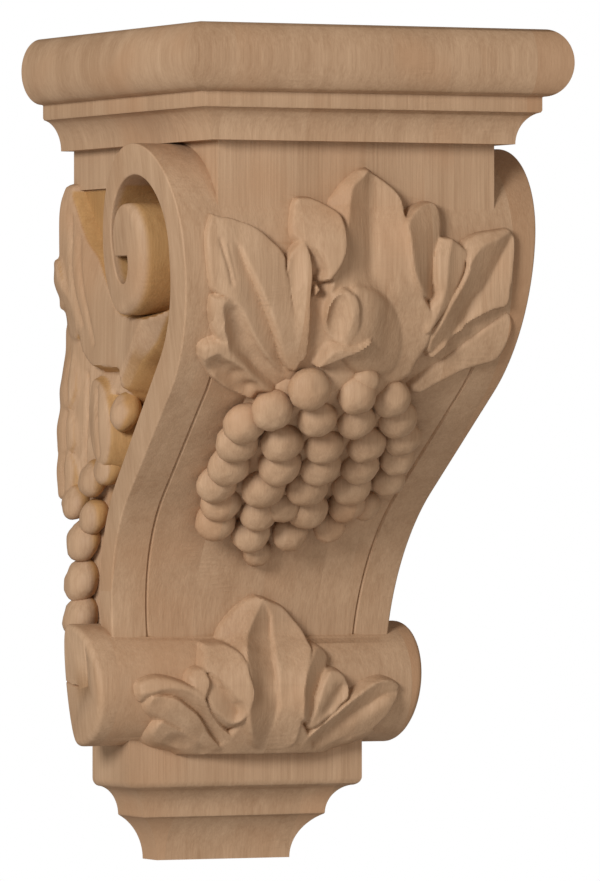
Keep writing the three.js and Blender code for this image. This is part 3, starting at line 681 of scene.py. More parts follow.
        "facets": [[(30, 77, 4.8), (28.5, 82, 6), (28, 88.5, 6.6), (29, 95, 6.8), (32.5, 80.5, 6.6),
                    (31.5, 87, 7.2), (31, 93.5, 7.2), (28.5, 101.5, 6.8), (35.5, 84.5, 10)],
                   [(32.5, 80.5, 6.6), (31.5, 87, 7.2), (31, 93.5, 7.2), (30, 100, 6.8), (35, 78, 5.8),
                    (39, 81, 5.2), (39.5, 85.5, 5.2), (38, 89.5, 5.4), (35, 94, 5.8), (32.5, 99, 6.2),
                    (29, 104, 6.4), (26, 84.5, 11)]],
    },
    "right_long_left": {
        "round": 0.8,
        "edge": [(58, 72), (58, 72), (52.5, 73), (46.5, 74), (42, 76), (39.5, 78.5), (40, 82), (40, 87),
                 (37.5, 92), (34, 97.5), (31.5, 103.5), (29, 109.5), (29.5, 115), (35, 115), (40, 109.5),
                 (44.5, 103.5), (48.5, 97), (54, 90), (59, 81.5), (60.5, 76.5)],
        "facets": [[(57.5, 73, 3.4), (52, 73.5, 3.6), (46, 75, 4), (41, 77.5, 4.2), (53.5, 76, 5.4),
                    (48, 78, 6), (43, 81.5, 6.4), (40.5, 85, 6.6), (46.5, 85, 11)],
                   [(53.5, 76, 5.4), (48, 78, 6), (43, 81.5, 6.4), (40.5, 85, 6.6), (37.5, 92, 6.6),
                    (34.5, 97.5, 6.6), (31.5, 104, 6), (30, 110.5, 4.8), (57.5, 78, 2.2), (54, 84.5, 1.4),
                    (51.5, 89.5, 1), (48.5, 94.5, 0.9), (45, 98.5, 1), (42, 105, 1.6), (37.5, 110.5, 3)]],
    },
    "right_long_right": {
        "round": 1.0,
        "edge": [(58.5, 72), (58.5, 72), (60.5, 75), (60.5, 80), (60, 87), (59.5, 94), (58.5, 99),
                 (53, 100.5), (47.5, 103), (42, 107), (36.5, 112), (32, 117), (30.5, 114.5), (36, 108),
                 (40.5, 102.5), (44.5, 97.5), (48.5, 91), (53, 83.5), (56, 77.5)],
        "facets": [[(57.5, 78, 2.2), (54, 84.5, 1.4), (51.5, 89.5, 1), (48.5, 94.5, 0.9), (45, 98.5, 1),
                    (42, 105, 1.6), (37.5, 110.5, 3), (60, 76.5, 3.1), (60, 83, 3.2), (59.5, 90.5, 3.2),
                    (58.5, 98, 3.4), (53, 100, 3.9), (47, 103.5, 4.1), (41, 107.5, 4.3), (36, 112, 4.6),
                    (32.5, 116, 4.2), (55, 90.5, 2.1)]],
    },
    "right_low": {
        "round": 1.4, "wall": 1.6, "blend": 1.5,
        "edge": [(60.5, 102), (63, 106.5), (62, 113), (59, 118.5), (53, 120.5), (47.5, 122), (42.5, 124.5),
                 (37.5, 127), (32.5, 129.5), (28, 128.5), (32, 124), (37, 120), (43.5, 114.5), (50.5, 109),
                 (56.5, 104.5)],
        "facets": [[(59.5, 103.5, 0.8), (52.5, 108.5, 0.8), (44.5, 115, 0.9), (38, 120.5, 1.4),
                    (32.5, 125.5, 2.4), (62, 108, 1.8), (60.5, 115, 2.3), (58, 118, 2.5), (49, 121, 2.7),
                    (42, 124, 2.9), (36, 127, 3.2), (31.5, 128.5, 3.4)]],
    },
    "bulb": {
        "round": 3.0, "wall": 0.7, "blend": 3.5,
        "edge": [(-7, 93.5), (1, 93), (9, 96.5), (14.5, 102.5), (18, 110.5), (18.5, 117.5), (15.5, 121.5),
                 (5.5, 122), (-5, 116.5), (-9, 110.5)],
        "facets": [[(-4.5, 96.5, 8.6), (1.5, 95, 8.2), (9.5, 99.5, 5.6), (14.5, 106.5, 4.2),
                    (18, 114.5, 3.8), (3.5, 103, 8.6), (1, 110.5, 9.2), (13, 113.5, 5.6), (11, 119.5, 6.2),
                    (-3.5, 115, 9)]],
    },
    "stem_end": {
        "round": 0.6, "wall": 7.0,
        "edge": [(-10, 93.5), (-7.5, 94), (-5, 96), (-3.5, 100), (-3, 105), (-5, 109), (-8, 110.5),
                 (-11.5, 109.5), (-14, 106.5), (-15.5, 102), (-14.5, 97.5), (-12.5, 95)],
        "facets": [[(-10, 94, 9), (-6, 96, 10.2), (-4, 101, 10.4), (-4, 105.5, 10), (-7, 109.5, 9),
                    (-12.5, 108, 8), (-14.5, 103, 7.8), (-13.5, 97, 8.2), (-6, 101.5, 10.8)]],
        "scoops": [((-11, 102.5), (4.2, 7.8), 3.4)],
    },
    "tendril": {
        "round": 0.6, "wall": 6.0,
        "edge": [(-15.5, 118), (-14, 114.5), (-12, 112), (-9, 111), (-5, 111), (-1.5, 110.5), (2.5, 109),
                 (1.5, 110), (-3, 112.5), (-7, 114), (-11.5, 116.5)],
        "facets": [[(-15, 117.5, 9.2), (-12.5, 114, 10.4), (-8.5, 112, 11.4), (-4, 112, 12),
                    (2, 109.5, 11.8)]],
    },
}

BUNCH_MOUND = {
    "mound": {
        "round": 6.0, "wall": 0.8,
        "edge": [(-34, 134), (-28, 126), (-12, 118), (10, 120), (26, 126), (33, 140), (34, 152), (28, 164),
                 (16, 174), (-8, 180), (-22, 174), (-30, 162)],
        "facets": [[(-30, 140, 4.5), (-10, 124, 8), (26, 132, 4.5), (0, 140, 8.5), (0, 155, 7.5),
                    (30, 150, 2.5), (-27, 160, 3), (-8, 170, 5.5), (14, 168, 4), (-8, 178, 2.5)]],
    },
}

# The leaf on the roll: the height is measured straight forward
ROLL_LEAF = {
    "heel": {
        "round": 2.0, "wall": 2.6,
        "edge": [(-23.5, 265.5), (-17, 262), (-13.5, 258.5), (-11, 254), (-6.5, 248.5), (0.5, 246.5),
                 (8.5, 249), (15, 253), (20, 258), (25.5, 263.5), (32, 267), (34.5, 271), (-23.5, 269.5)],
        "facets": [[(-16, 263.5, -0.5), (-10.5, 255.5, 3.4), (-6, 250, 4.8), (1, 249, 4.3), (9, 250.5, 5.7),
                    (15.5, 254.5, 5), (25, 263, 1.2), (-0.5, 257.5, 3.3), (-7, 263, 2), (4, 265, 1.5),
                    (16, 264.5, 1.7), (31, 266.5, -1.5)]],
    },
    "centre_left": {
        "round": 0.8,
        "edge": [(-14, 218), (-12, 215), (-9.5, 212), (-6, 209), (-2.5, 207), (0, 206.5), (1.5, 208),
                 (5, 212), (7.5, 219), (6.5, 226), (5, 241), (6.5, 250), (6, 261.5), (-3, 261),
                 (-9.5, 249.5), (-8, 242.5), (-9.5, 233), (-10, 227.5), (-12.5, 226), (-15.5, 224),
                 (-15, 221)],
        "facets": [[(-14, 219.5, 2.4), (-12, 216, 2.2), (-6, 210, 2.6), (-1.5, 207.5, 3.4),
                    (0.5, 209.5, 5.5), (-3.5, 215.5, 8.2), (-6, 220, 9.2), (-9, 225, 8.6), (-10, 229, 9),
                    (-11.5, 224, 3.6), (-12, 220, 3.6)],
                   [(0.5, 209.5, 5.5), (-3.5, 215.5, 8.2), (-6, 220, 9.2), (-9, 225, 9.8), (-10, 230, 10),
                    (-8.5, 237, 9.5), (-7.5, 243, 9), (5.5, 214.5, 4.6), (5.5, 222.5, 4.4), (4, 230, 4.4),
                    (3.5, 241, 4.8), (4.5, 248, 4.5), (4, 261.5, 2), (-1, 226, 5), (-2, 240.5, 5)]],
    },
    "centre_right": {
        "round": 0.6,
        "edge": [(1, 207.5), (5, 213.5), (5, 222.5), (3.5, 229.5), (3.5, 240.5), (4.5, 246.5), (4, 252),
                 (3.5, 257.5), (7, 262.5), (14, 261.5), (14, 253), (13, 246.5), (12.5, 239), (14.5, 233.5),
                 (17, 229), (18.5, 226), (18.5, 223), (18, 219), (15, 215), (11, 211), (6.5, 209)],
        "facets": [[(4.5, 213.5, 5.6), (5, 217, 6), (5.5, 222.5, 6.2), (4, 229.5, 6.2), (4, 240.5, 6.4),
                    (5, 246.5, 6.1), (13, 215.5, 4.6), (16.5, 219.5, 5.6), (17.5, 224.5, 7.4),
                    (14.5, 233, 8.6), (12.5, 241, 9), (13.5, 250, 7.5), (9.5, 230, 6.4), (8.5, 241, 7),
                    (9.5, 259.5, 3.2)]],
    },
    "left_hollow": {
        "round": 0.8, "blend": 1.0,
        "edge": [(-24, 235), (-22, 234), (-18.5, 236), (-15.5, 239), (-12.5, 242), (-9.5, 244.5),
                 (-7.5, 247.5), (-8, 250.5), (-10.5, 252.5), (-13, 253.5), (-16.5, 252), (-20.5, 249),
                 (-23.5, 245.5), (-25, 242.5), (-25, 238.5)],
        "facets": [[(-24, 236, 4.4), (-24.5, 240.5, 5), (-23, 245, 5.6), (-19.5, 249, 5.6),
                    (-16, 251.5, 5.6), (-12.5, 253, 5.7), (-21, 236.5, 3.8), (-18, 239.5, 4.2),
                    (-14.5, 243, 4.2), (-11, 246, 3.4), (-9, 248.5, 2.7), (-19, 244, 5.4),
                    (-15.5, 247.5, 5.1)]],
        "scoops": [((-10, 247.5), (1.1, 2.6), 1.4)],
    },
    "left_fold": {
        "round": 0.8,
        "edge": [(-22.5, 223.5), (-22.5, 223.5), (-19, 223.5), (-15.5, 223.5), (-13, 225), (-11, 227),
                 (-10, 230), (-9.5, 235), (-8, 240.5), (-8, 244.5), (-8.5, 248), (-9.5, 251), (-11, 252.5),
                 (-12.5, 252.5), (-11.5, 250.5), (-11, 248), (-12, 245.5), (-14, 244), (-16, 241.5),
                 (-18, 239), (-20.5, 236.5), (-22.5, 234.5), (-25, 233.5), (-25, 229.5)],
        "facets": [[(-22.5, 224, 3.6), (-16, 223.5, 5.4), (-11, 226, 8.4), (-10, 231, 10.2),
                    (-9, 238, 10.8), (-8, 243.5, 10.8), (-8.5, 248, 9.7), (-10.5, 252, 8),
                    (-21.5, 229.5, 5.2), (-16.5, 232.5, 7.6), (-25, 232.5, 4.6), (-20.5, 235.5, 6.4),
                    (-16, 240.5, 8.2), (-12, 245.5, 9.3)]],
    },
    "left_small": {
        "round": 0.9,
        "edge": [(-31.5, 236), (-30, 233.5), (-28, 232.5), (-25.5, 232.5), (-24.5, 235), (-24, 237.5),
                 (-25, 241.5), (-26, 244), (-27.5, 243), (-29.5, 240)],
        "facets": [[(-31.5, 236, 3.6), (-28.5, 233, 3.8), (-25.5, 233.5, 5), (-25, 236.5, 6.2),
                    (-25.5, 241, 6.6), (-26.5, 243.5, 6.6), (-29.5, 239, 5.2)]],
    },
    "left_long_top": {
        "round": 0.8,
        "edge": [(-51, 240.5), (-51, 238), (-48.5, 236.5), (-44, 235.5), (-38, 236.5), (-32.5, 238.5),
                 (-27, 241), (-25.5, 244), (-22.5, 248.5), (-17.5, 253.5), (-11, 258.5), (-7, 263),
                 (-12, 264), (-17.5, 260), (-23.5, 253), (-30, 247.5), (-36.5, 244.5), (-43, 242.5),
                 (-47, 243.5), (-49.5, 244.5)],
        "facets": [[(-50.5, 240, 4.2), (-47.5, 237, 4.4), (-42, 236.5, 5), (-36, 237, 5.4),
                    (-30.5, 239, 5.8), (-26.5, 242.5, 6.4), (-46, 241, 5.4), (-36.5, 239.5, 6.2),
                    (-30.5, 241.5, 6.6), (-21.5, 249, 6.5), (-14, 255.5, 4.5)],
                   [(-46, 241, 5.2), (-42, 240, 5.6), (-36.5, 240, 6), (-30.5, 241.5, 6.4),
                    (-26.5, 244, 6.8), (-21, 249, 5.5), (-14, 255.5, 3.7), (-9, 260.5, 2.6),
                    (-43, 242.5, 2.8), (-36.5, 243.5, 2.4), (-30, 246.5, 1.8), (-25.5, 250.5, 0.8),
                    (-18.5, 257.5, -0.9), (-14, 262, -0.4)]],
    },
    "left_long_low": {
        "round": 0.8,
        "edge": [(-47.5, 245), (-46, 242.5), (-42, 242.5), (-37, 243.5), (-32, 246.5), (-26.5, 250.5),
                 (-20.5, 257), (-14, 262.5), (-15.5, 263.5), (-21, 262), (-27, 259.5), (-33.5, 255.5),
                 (-39.5, 252), (-44, 249.5), (-46.5, 247.5)],
        "facets": [[(-45, 243.5, 4.8), (-41.5, 243, 5), (-37, 244, 5.4), (-31.5, 247, 4.9),
                    (-26.5, 251.5, 4), (-20, 257.5, 2.2), (-15, 262, 1.4), (-45.5, 246.5, 3.1),
                    (-40, 251, 1.8), (-32.5, 255.5, 0.5), (-25.5, 259.5, -0.2), (-17.5, 263, 0.2),
                    (-39, 247.5, 4), (-30, 253, 2.7)]],
    },
    "left_low": {
        "round": 0.7,
        "edge": [(-42.5, 257), (-42.5, 254), (-41, 252), (-38, 253), (-33.5, 255), (-26.5, 258),
                 (-16.5, 263), (-12.5, 265.5), (-25.5, 265.5), (-31, 262.5), (-35, 261.5), (-39.5, 260)],
        "facets": [[(-41.5, 257.5, -0.6), (-41, 252.5, 2.3), (-37.5, 254, 2.2), (-34, 255.5, 1.9),
                    (-39, 259.5, -1.5), (-36.5, 257, 0.9)],
                   [(-38.5, 260, -1.5), (-38, 258, 0), (-36, 256, 1.5), (-33, 256, 1.9), (-24, 259.5, 1),
                    (-15, 263.5, 0.5), (-33, 259, -1.5), (-28.5, 261, -1.5), (-21.5, 263, -1.5),
                    (-30, 262.5, -1.5), (-23, 265, -1.5), (-14.5, 265.5, -1.5)]],
    },
    "right_fold": {
        "round": 0.9,
        "edge": [(14, 252), (12.5, 244.5), (12.5, 239), (14, 233.5), (18, 228), (21, 225), (24.5, 225.5),
                 (26.5, 228.5), (25.5, 231.5), (24.5, 234.5), (22.5, 239), (21, 243.5), (20.5, 248),
                 (19.5, 251.5)],
        "facets": [[(13, 241, 9.2), (15, 233, 8.8), (18.5, 228.5, 7.6), (22, 226, 6), (14, 248, 8.4),
                    (25.5, 228.5, 3.4), (25, 232, 3.2), (22.5, 238, 3), (21, 243.5, 3), (20.5, 249.5, 2.7)]],
    },
    "right_small": {
        "round": 0.7,
        "edge": [(24, 234.5), (27.5, 234), (30.5, 235.5), (32, 238), (33, 240.5), (32.5, 244), (30, 246.5),
                 (27.5, 249.5), (24, 252), (20, 255), (18, 253), (19, 249), (19.5, 244.5), (21.5, 239)],
        "facets": [[(24.5, 235, 6.6), (27.5, 234.5, 6.2), (31, 236.5, 5.8), (22, 239.5, 7),
                    (20, 244.5, 7.4), (19.5, 249, 6.5), (19, 253.5, 5.5), (29.5, 237.5, 5.8), (26, 241, 6),
                    (23, 246, 6.4), (21, 250, 5.9), (30, 241, 3.8), (27.5, 245, 4.2), (24.5, 248.5, 4.4),
                    (33, 240.5, 5.4), (31.5, 244.5, 5.8), (28.5, 248.5, 5.6), (24.5, 251.5, 5.5)]],
    },
    "right_long_top": {
        "round": 0.8,
        "edge": [(54.5, 239.5), (51, 238), (47, 237.5), (42.5, 239), (38.5, 241.5), (35, 244), (32.5, 246),
                 (29, 249), (25, 252.5), (20.5, 256.5), (18, 260.5), (18.5, 264.5), (23.5, 263.5),
                 (27.5, 259), (32.5, 254.5), (38, 250.5), (44, 246.5), (50, 244), (54.5, 241.5)],
        "facets": [[(51, 238.5, 4.2), (47, 238.5, 4.8), (42.5, 240, 5.4), (37, 243.5, 5.8),
                    (32.5, 247, 5.6), (28, 251.5, 4.5), (22.5, 257, 3.3), (18.5, 261.5, 2.6),
                    (51.5, 242.5, 2.6), (43, 246.5, 2), (35.5, 250.5, 0.7), (30.5, 255, -0.2),
                    (25.5, 259, -0.6), (21, 263.5, 0.2)]],
    },
    "right_long_low": {
        "round": 0.9,
        "edge": [(55, 241), (54.5, 244), (52.5, 247.5), (50.5, 251.5), (46.5, 256), (39.5, 258.5),
                 (31.5, 261), (24.5, 263.5), (19, 265), (17, 263.5), (21.5, 260.5), (27, 256), (33, 251.5),
                 (39.5, 248), (45.5, 245), (51, 242.5)],
        "facets": [[(51.5, 242.5, 2.6), (43, 246.5, 2), (35.5, 250.5, 0.7), (30.5, 255, -0.2),
                    (25.5, 259, -0.6), (21, 263.5, 0.2), (50, 245, 4.2), (44.5, 249, 3.6), (37.5, 254, 1.9),
                    (31, 259, 0.6), (25.5, 262, 0.4), (52, 247, 3.7), (49, 251.5, 2.6), (45, 255, 1.2),
                    (37.5, 258.5, 0.3), (28, 262, 0.4)]],
    },
    "right_low": {
        "round": 0.6,
        "edge": [(46, 256), (48, 257.5), (42, 260.5), (34.5, 262.5), (27.5, 266), (21.5, 266.5),
                 (22.5, 264), (31.5, 261), (39.5, 258.5)],
        "facets": [[(46, 256.5, 0.5), (39.5, 259, 0.2), (32, 261, 0), (23.5, 264.5, 0.5),
                    (44.5, 259.5, -1.5), (35, 262, -1.5), (27.5, 266, -1.5)]],
    },
}

# The leaf in a side panel: (forward, drop, height off the panel floor)
SIDE_LEAF = {
    "ground": {
        "round": 2.0,
        "edge": [(-9, 108), (8, 110), (20, 114), (28, 120), (44, 122), (56, 124), (57, 131), (50, 134),
                 (41, 132), (40, 137), (37, 140), (40, 147), (37, 156), (28, 159), (20, 164), (12, 168),
                 (4, 169), (-9, 168)],
        "facets": [[(2, 116, 7.6), (9.5, 116, 8), (4, 125, 8), (20, 121, 6), (32, 124, 4.6),
                    (44, 125, 4.2), (54, 126, 4.4), (40, 132, 7.5), (30, 140, 8), (37, 150, 7.5),
                    (20, 140, 8.4), (10, 150, 9.2), (2, 156, 9.6), (14, 162, 8)]],
        "veins": [([(17, 124), (19, 140), (15, 158)], 1.6, 1.8)],
    },
    "blade": {
        "round": 0.9,
        "edge": [(-9, 53), (-1, 54), (4.5, 54.4), (6, 57.8), (9, 62), (16, 70.5), (22, 76), (31, 81.5),
                 (38, 89), (45.5, 95.5), (52.5, 102), (62.5, 103.5), (75, 104.3), (86, 103.8),
                 (99.5, 101.2), (99.5, 101.2), (97, 104), (86.5, 110.4), (76, 117), (67.5, 122),
                 (58.5, 130), (54, 129.5), (56, 123.6), (46, 122.2), (30, 121.6), (24.5, 119.6),
                 (19, 115.6), (16, 109), (11, 103), (5, 99), (-9, 98)],
        "facets": [[(0, 55, 5), (1, 59.5, 6.8), (1.5, 65, 7.8), (1.5, 74, 8.4), (1.5, 82.5, 8.8),
                    (2, 92, 9.2), (4.5, 56, 4.8), (8.5, 62.5, 5.4), (15.5, 71, 6), (21.5, 76.5, 6.4),
                    (30.5, 82, 6.8),
                    (37.5, 89.5, 7.6), (45, 96, 8.4), (52.5, 103, 9), (70, 106, 10.6), (14.5, 83, 9.4),
                    (26.5, 91, 9.4), (29.5, 104.5, 9.8), (19, 112, 9.6), (46, 120.5, 10.4), (60, 119, 11),
                    (72, 110, 11.4)],
                   [(78, 106, 11.2), (72.5, 111, 11.4), (66, 117.5, 11.4), (59, 124, 11), (55, 129, 9.5),
                    (99, 102.5, 8.4), (86.5, 109.5, 7.2), (76, 116, 6.8), (67.5, 121, 6.8), (58, 129, 7.2)]],
        "veins": [([(7, 66), (11, 82), (15, 94), (21, 106)], 1.8, 1.3),
                  ([(15, 74), (20, 86), (26, 101), (31, 113)], 1.5, 1.1)],
    },
    "wall_tip": {
        "round": 1.4,
        "edge": [(-9, 81.4), (1, 81.8), (3.5, 84), (8, 91), (13, 97), (17, 104), (15, 110.5), (9, 112),
                 (3.5, 110.5), (-9, 110)],
        "facets": [[(0, 85.5, 11), (0, 90, 11.3), (2, 93.5, 10.8), (6, 97.5, 9.8), (5, 102, 8.6),
                    (4, 108, 7.8), (10, 100, 9.6), (14, 105, 9.8), (-3, 101, 6), (-3, 108, 5.4),
                    (10, 110, 8.8)]],
    },
    "fringe_upper": {
        "round": 2.0,
        "edge": [(-9, 112), (6, 112.5), (11, 120), (12, 130), (8, 136), (3, 138), (-9, 137.5)],
        "facets": [[(3, 114, 7.6), (3, 122, 9.6), (2, 130, 11.2), (2.5, 135.5, 11), (9, 122, 9.6),
                    (10, 131, 10.6), (-3, 126, 8.8)]],
        "veins": [([(6, 114), (6.5, 134)], 1.3, 1.2)],
    },
    "fringe_middle": {
        "round": 2.0,
        "edge": [(-9, 136), (5, 136.5), (11, 142), (11, 150), (5, 153.5), (-9, 153)],
        "facets": [[(2, 138, 10.8), (1, 144, 12.4), (1, 150, 12.4), (8, 144, 11.6), (8, 150, 11.6)]],
        "veins": [([(5, 138), (5, 152)], 1.3, 1.4)],
    },
    "fringe_lower": {
        "round": 2.0,
        "edge": [(-9, 151), (5, 152), (10, 158), (9, 166), (4, 170), (-2, 171), (-9, 170)],
        "facets": [[(1, 153, 12), (-1, 160, 13.4), (-1, 167, 13.2), (7, 158, 12), (6, 166, 12)]],
        "veins": [([(4, 153), (3, 168)], 1.3, 1.4)],
    },
    "strip": {
        "round": 2.4,
        "edge": [(26, 126), (36, 128), (42, 134), (45, 142), (45.5, 150), (41, 157.5), (33, 158), (27.5, 150),
                 (24, 138)],
        "facets": [[(28, 128, 9.4), (38, 131, 10), (43, 142, 11), (42, 153, 11.6), (34, 156, 11.6),
                    (27, 142, 10.8), (35, 142, 12.2)]],
        "veins": [([(32, 130), (36, 142), (36, 154)], 1.4, 1.5)],
    },
}

SIDE_BED = {
    "bed": {
        "round": 4.0, "wall": 1.0,
        "edge": [(12, 160), (30, 150), (46, 152), (44, 166), (34, 186), (28, 205), (27, 226), (6, 226),
                 (6, 176)],
        "facets": [[(20, 170, 5), (18, 200, 6), (16, 222, 6), (40, 160, 3), (30, 186, 3), (25, 205, 3),
                    (24, 222, 3)]],
    },
}

# Grapes: (across, drop, height of the centre, radius) on the front, (forward, drop, ...) in a side panel
FRONT_GRAPES = [
    (-16.5, 124, 9.6, 8.2), (3.5, 126, 9.4, 7.4), (6, 122.5, 7.4, 5.4), (20, 129, 6.4, 7.4),
    (-27, 131.5, 8.6, 8.0), (-34, 137.5, 6.8, 8.2), (-8, 133.5, 9.6, 7.6), (8.5, 135, 8.6, 7.4),
    (27.5, 137, 5.4, 7.6), (-32.5, 145, 5.8, 8.2), (-17, 142.5, 9.0, 8.0), (0.5, 143.5, 9.2, 7.6),
    (18.5, 144.5, 7.2, 7.6), (34, 144.5, 4.6, 7.2), (-30.5, 154, 5.0, 8.2), (-13, 151, 8.6, 8.4),
    (3.5, 151.5, 8.8, 8.0), (21, 153, 6.6, 7.4), (36.5, 152, 4.2, 7.0), (-31, 161.5, 4.2, 7.8),
    (-14, 160, 7.6, 8.4), (3, 159.5, 8.2, 8.0), (22.5, 161, 6.2, 7.6), (38, 160.5, 3.6, 6.6),
    (-25.5, 168.5, 4.0, 7.8), (-10, 170.5, 6.8, 7.2), (-2, 167.5, 7.2, 6.6), (9, 169, 7.0, 7.8),
    (25, 168.5, 5.0, 7.2), (-24, 176, 3.6, 7.8), (-9, 180, 4.8, 7.4), (7, 180, 5.0, 7.0),
    (22.5, 177.5, 4.2, 6.6), (-2.5, 189, 1.6, 5.8), (35, 171, 2.6, 5.8),
]
SIDE_GRAPES = [
    (49.7, 138.2, 6.0, 7.6), (34.2, 158.4, 6.5, 7.5), (23.5, 162.8, 8.5, 7.3), (8.4, 171.6, 9.5, 6.9),
    (20.9, 176.8, 8.0, 7.1), (14.4, 185.8, 9.6, 8.3), (12.4, 200.3, 10.2, 8.5), (11.4, 213.9, 10.8, 8.5),
]
BALL = {"rings": 14, "segments": 22, "flatness": 0.7, "tooling": 0.8 * MM, "tool_marks": 200.0}
GRAPE_TILT = 0.38


def grape_tree():
    """One flattened ball on every point, square to the point's facing and dented a little by the chisel."""
    tree = bpy.data.node_groups.new("grape_bunch", "GeometryNodeTree")
    tree.interface.new_socket("Geometry", in_out="INPUT", socket_type="NodeSocketGeometry")
    kinds = {"Rings": "Int", "Segments": "Int", "Flatness": "Float", "Tooling": "Float",
             "Tool Marks": "Float", "Wood": "Material"}
    inputs = {}
    for name, kind in kinds.items():
        made = tree.interface.new_socket(name, in_out="INPUT", socket_type="NodeSocket" + kind)
        inputs[name] = made.identifier
    tree.interface.new_socket("Geometry", in_out="OUTPUT", socket_type="NodeSocketGeometry")

    def node(kind, settings=None, values=None, out=0):
        return add_node(tree, kind, settings, values, out)

    enter = tree.nodes.new("NodeGroupInput")
    given = {s.name: Socket(tree, s) for s in enter.outputs if s.name}
    ball = node("GeometryNodeMeshUVSphere", values={"Radius": 1.0, "Rings": given["Rings"],
                                                    "Segments": given["Segments"]})
    radius = node("GeometryNodeInputNamedAttribute", {"data_type": "FLOAT"}, {"Name": "grape_radius"})
    facing = node("GeometryNodeInputNamedAttribute", {"data_type": "FLOAT_VECTOR"}, {"Name": "grape_facing"})
    turned = node("FunctionNodeAlignRotationToVector", {"axis": "Z"}, {"Vector": facing})
    size = node("ShaderNodeCombineXYZ", values={0: radius, 1: radius, 2: radius * given["Flatness"]})
    copies = node("GeometryNodeInstanceOnPoints", values={"Points": given["Geometry"], "Instance": ball,
                                                          "Rotation": turned, "Scale": size})
    whole = node("GeometryNodeRealizeInstances", values={"Geometry": copies})
    marks = node("ShaderNodeTexNoise", values={"Scale": given["Tool Marks"], "Detail": 1.0})
    dent = node("ShaderNodeVectorMath", {"operation": "SCALE"},
                {0: node("GeometryNodeInputNormal"), "Scale": (marks - 0.5) * given["Tooling"] * 2.0})
    dented = node("GeometryNodeSetPosition", values={"Geometry": whole, "Offset": dent})
    coated = node("GeometryNodeSetMaterial", values={"Geometry": dented, "Material": given["Wood"]})
    node("NodeGroupOutput", values={"Geometry": coated})
    return tree, inputs


def grapes(name, chart, rows, wood, tree, side=1):
    """A bunch of grapes whose lower rims stand out over the next row."""
    rows = np.array(rows)
    near, far = (chart(rows[:, 0], rows[:, 1], rows[:, 2] + lift) for lift in (0.0, 1.0))
    facing = far - near
    facing /= np.linalg.norm(facing, axis=1, keepdims=True)
    facing[:, 2] += GRAPE_TILT
    for place in (near, facing):
        place[:, 0] *= side
    made = mesh_object(name, near, [])
    sizes = made.data.attributes.new("grape_radius", "FLOAT", "POINT")
    sizes.data.foreach_set("value", (rows[:, 3] * MM).tolist())
    turns = made.data.attributes.new("grape_facing", "FLOAT_VECTOR", "POINT")
    turns.data.foreach_set("vector", facing.ravel())
    group, inputs = tree
    bunch = made.modifiers.new("bunch", "NODES")
    bunch.node_group = group
    settings = {"Rings": BALL["rings"], "Segments": BALL["segments"], "Flatness": BALL["flatness"],
                "Tooling": BALL["tooling"], "Tool Marks": BALL["tool_marks"], "Wood": wood}
    for key, value in settings.items():
        bunch[inputs[key]] = value
    return plain_mesh(made)


def plain_mesh(made):
    """The object with its modifiers worked into its own mesh."""
    depsgraph = bpy.context.evaluated_depsgraph_get()
    mesh = bpy.data.meshes.new_from_object(made.evaluated_get(depsgraph))
    made.modifiers.clear()
    old = made.data
    made.data = mesh
    bpy.data.meshes.remove(old)
    return made


def carve(base, others, operation):
    """Joins the other pieces of wood to the base, or cuts them out of it, and removes them."""
    group = bpy.data.collections.new("tools")
    bpy.context.scene.collection.children.link(group)
    for o in others:
        group.objects.link(o)
    cut = base.modifiers.new("carve", "BOOLEAN")
    cut.operation = operation
    cut.solver = "MANIFOLD"
    cut.operand_type = "COLLECTION"
    cut.collection = group
    plain_mesh(base)
    for o in others:
        bpy.data.objects.remove(o)
    bpy.data.collections.remove(group)
    return base


# Materials
class Socket:
    """A shader socket that takes part in Python sums."""

    def __init__(self, tree, socket):
        self.tree = tree
        self.socket = socket

    def node(self, kind, settings=None, values=None, out=0):
        return add_node(self.tree, kind, settings, values, out)

    def math(self, operation, *others):
        return self.node("ShaderNodeMath", {"operation": operation}, dict(enumerate((self, *others))))

    def __add__(self, other):
        return self.math("ADD", other)

    def __mul__(self, other):
        return self.math("MULTIPLY", other)

    def __sub__(self, other):
        return self.math("SUBTRACT", other)

    def __rsub__(self, other):
        return self.node("ShaderNodeMath", {"operation": "SUBTRACT"}, {0: other, 1: self})

    __radd__ = __add__
    __rmul__ = __mul__


def add_node(tree, kind, settings=None, values=None, out=0):
    """A node with its settings, the values or links of its sockets, and one of its outputs."""
    made = tree.nodes.new(kind)
    for key, value in (settings or {}).items():
        if key == "steps":
            made.color_ramp.interpolation = value
        elif key == "stops":
            ramp = made.color_ramp
            while len(ramp.elements) < len(value):
                ramp.elements.new(0.5)
            for element, (place, colour) in zip(ramp.elements, value):
                element.position = place
                element.color = (*colour, 1.0)
        else:
            setattr(made, key, value)
    for key, value in (values or {}).items():
        if isinstance(value, Socket):
            tree.links.new(value.socket, made.inputs[key])
        else:
            made.inputs[key].default_value = value
    return Socket(tree, made.outputs[out]) if made.outputs else None


PALE_WOOD = (0.535, 0.342, 0.210)
DARK_WOOD = (0.365, 0.212, 0.118)
RED_WOOD = (0.44, 0.240, 0.128)
# Multiplied into the side-panel recesses: painted shade together with the rough floor's own browner tone
RECESS_STAIN_AND_SHADE = (0.94, 0.83, 0.55)
# Multiplied into creases: painted shade
CREASE_SHADE = (0.70, 0.60, 0.48)
FRONT_DROPS = range(50, 241, 10)
BOARDS = [(0.0, 0.30), (0.12, 0.62), (0.34, 0.42), (0.52, 0.56), (0.675, 0.80), (0.752, 0.50), (0.9, 0.14)]


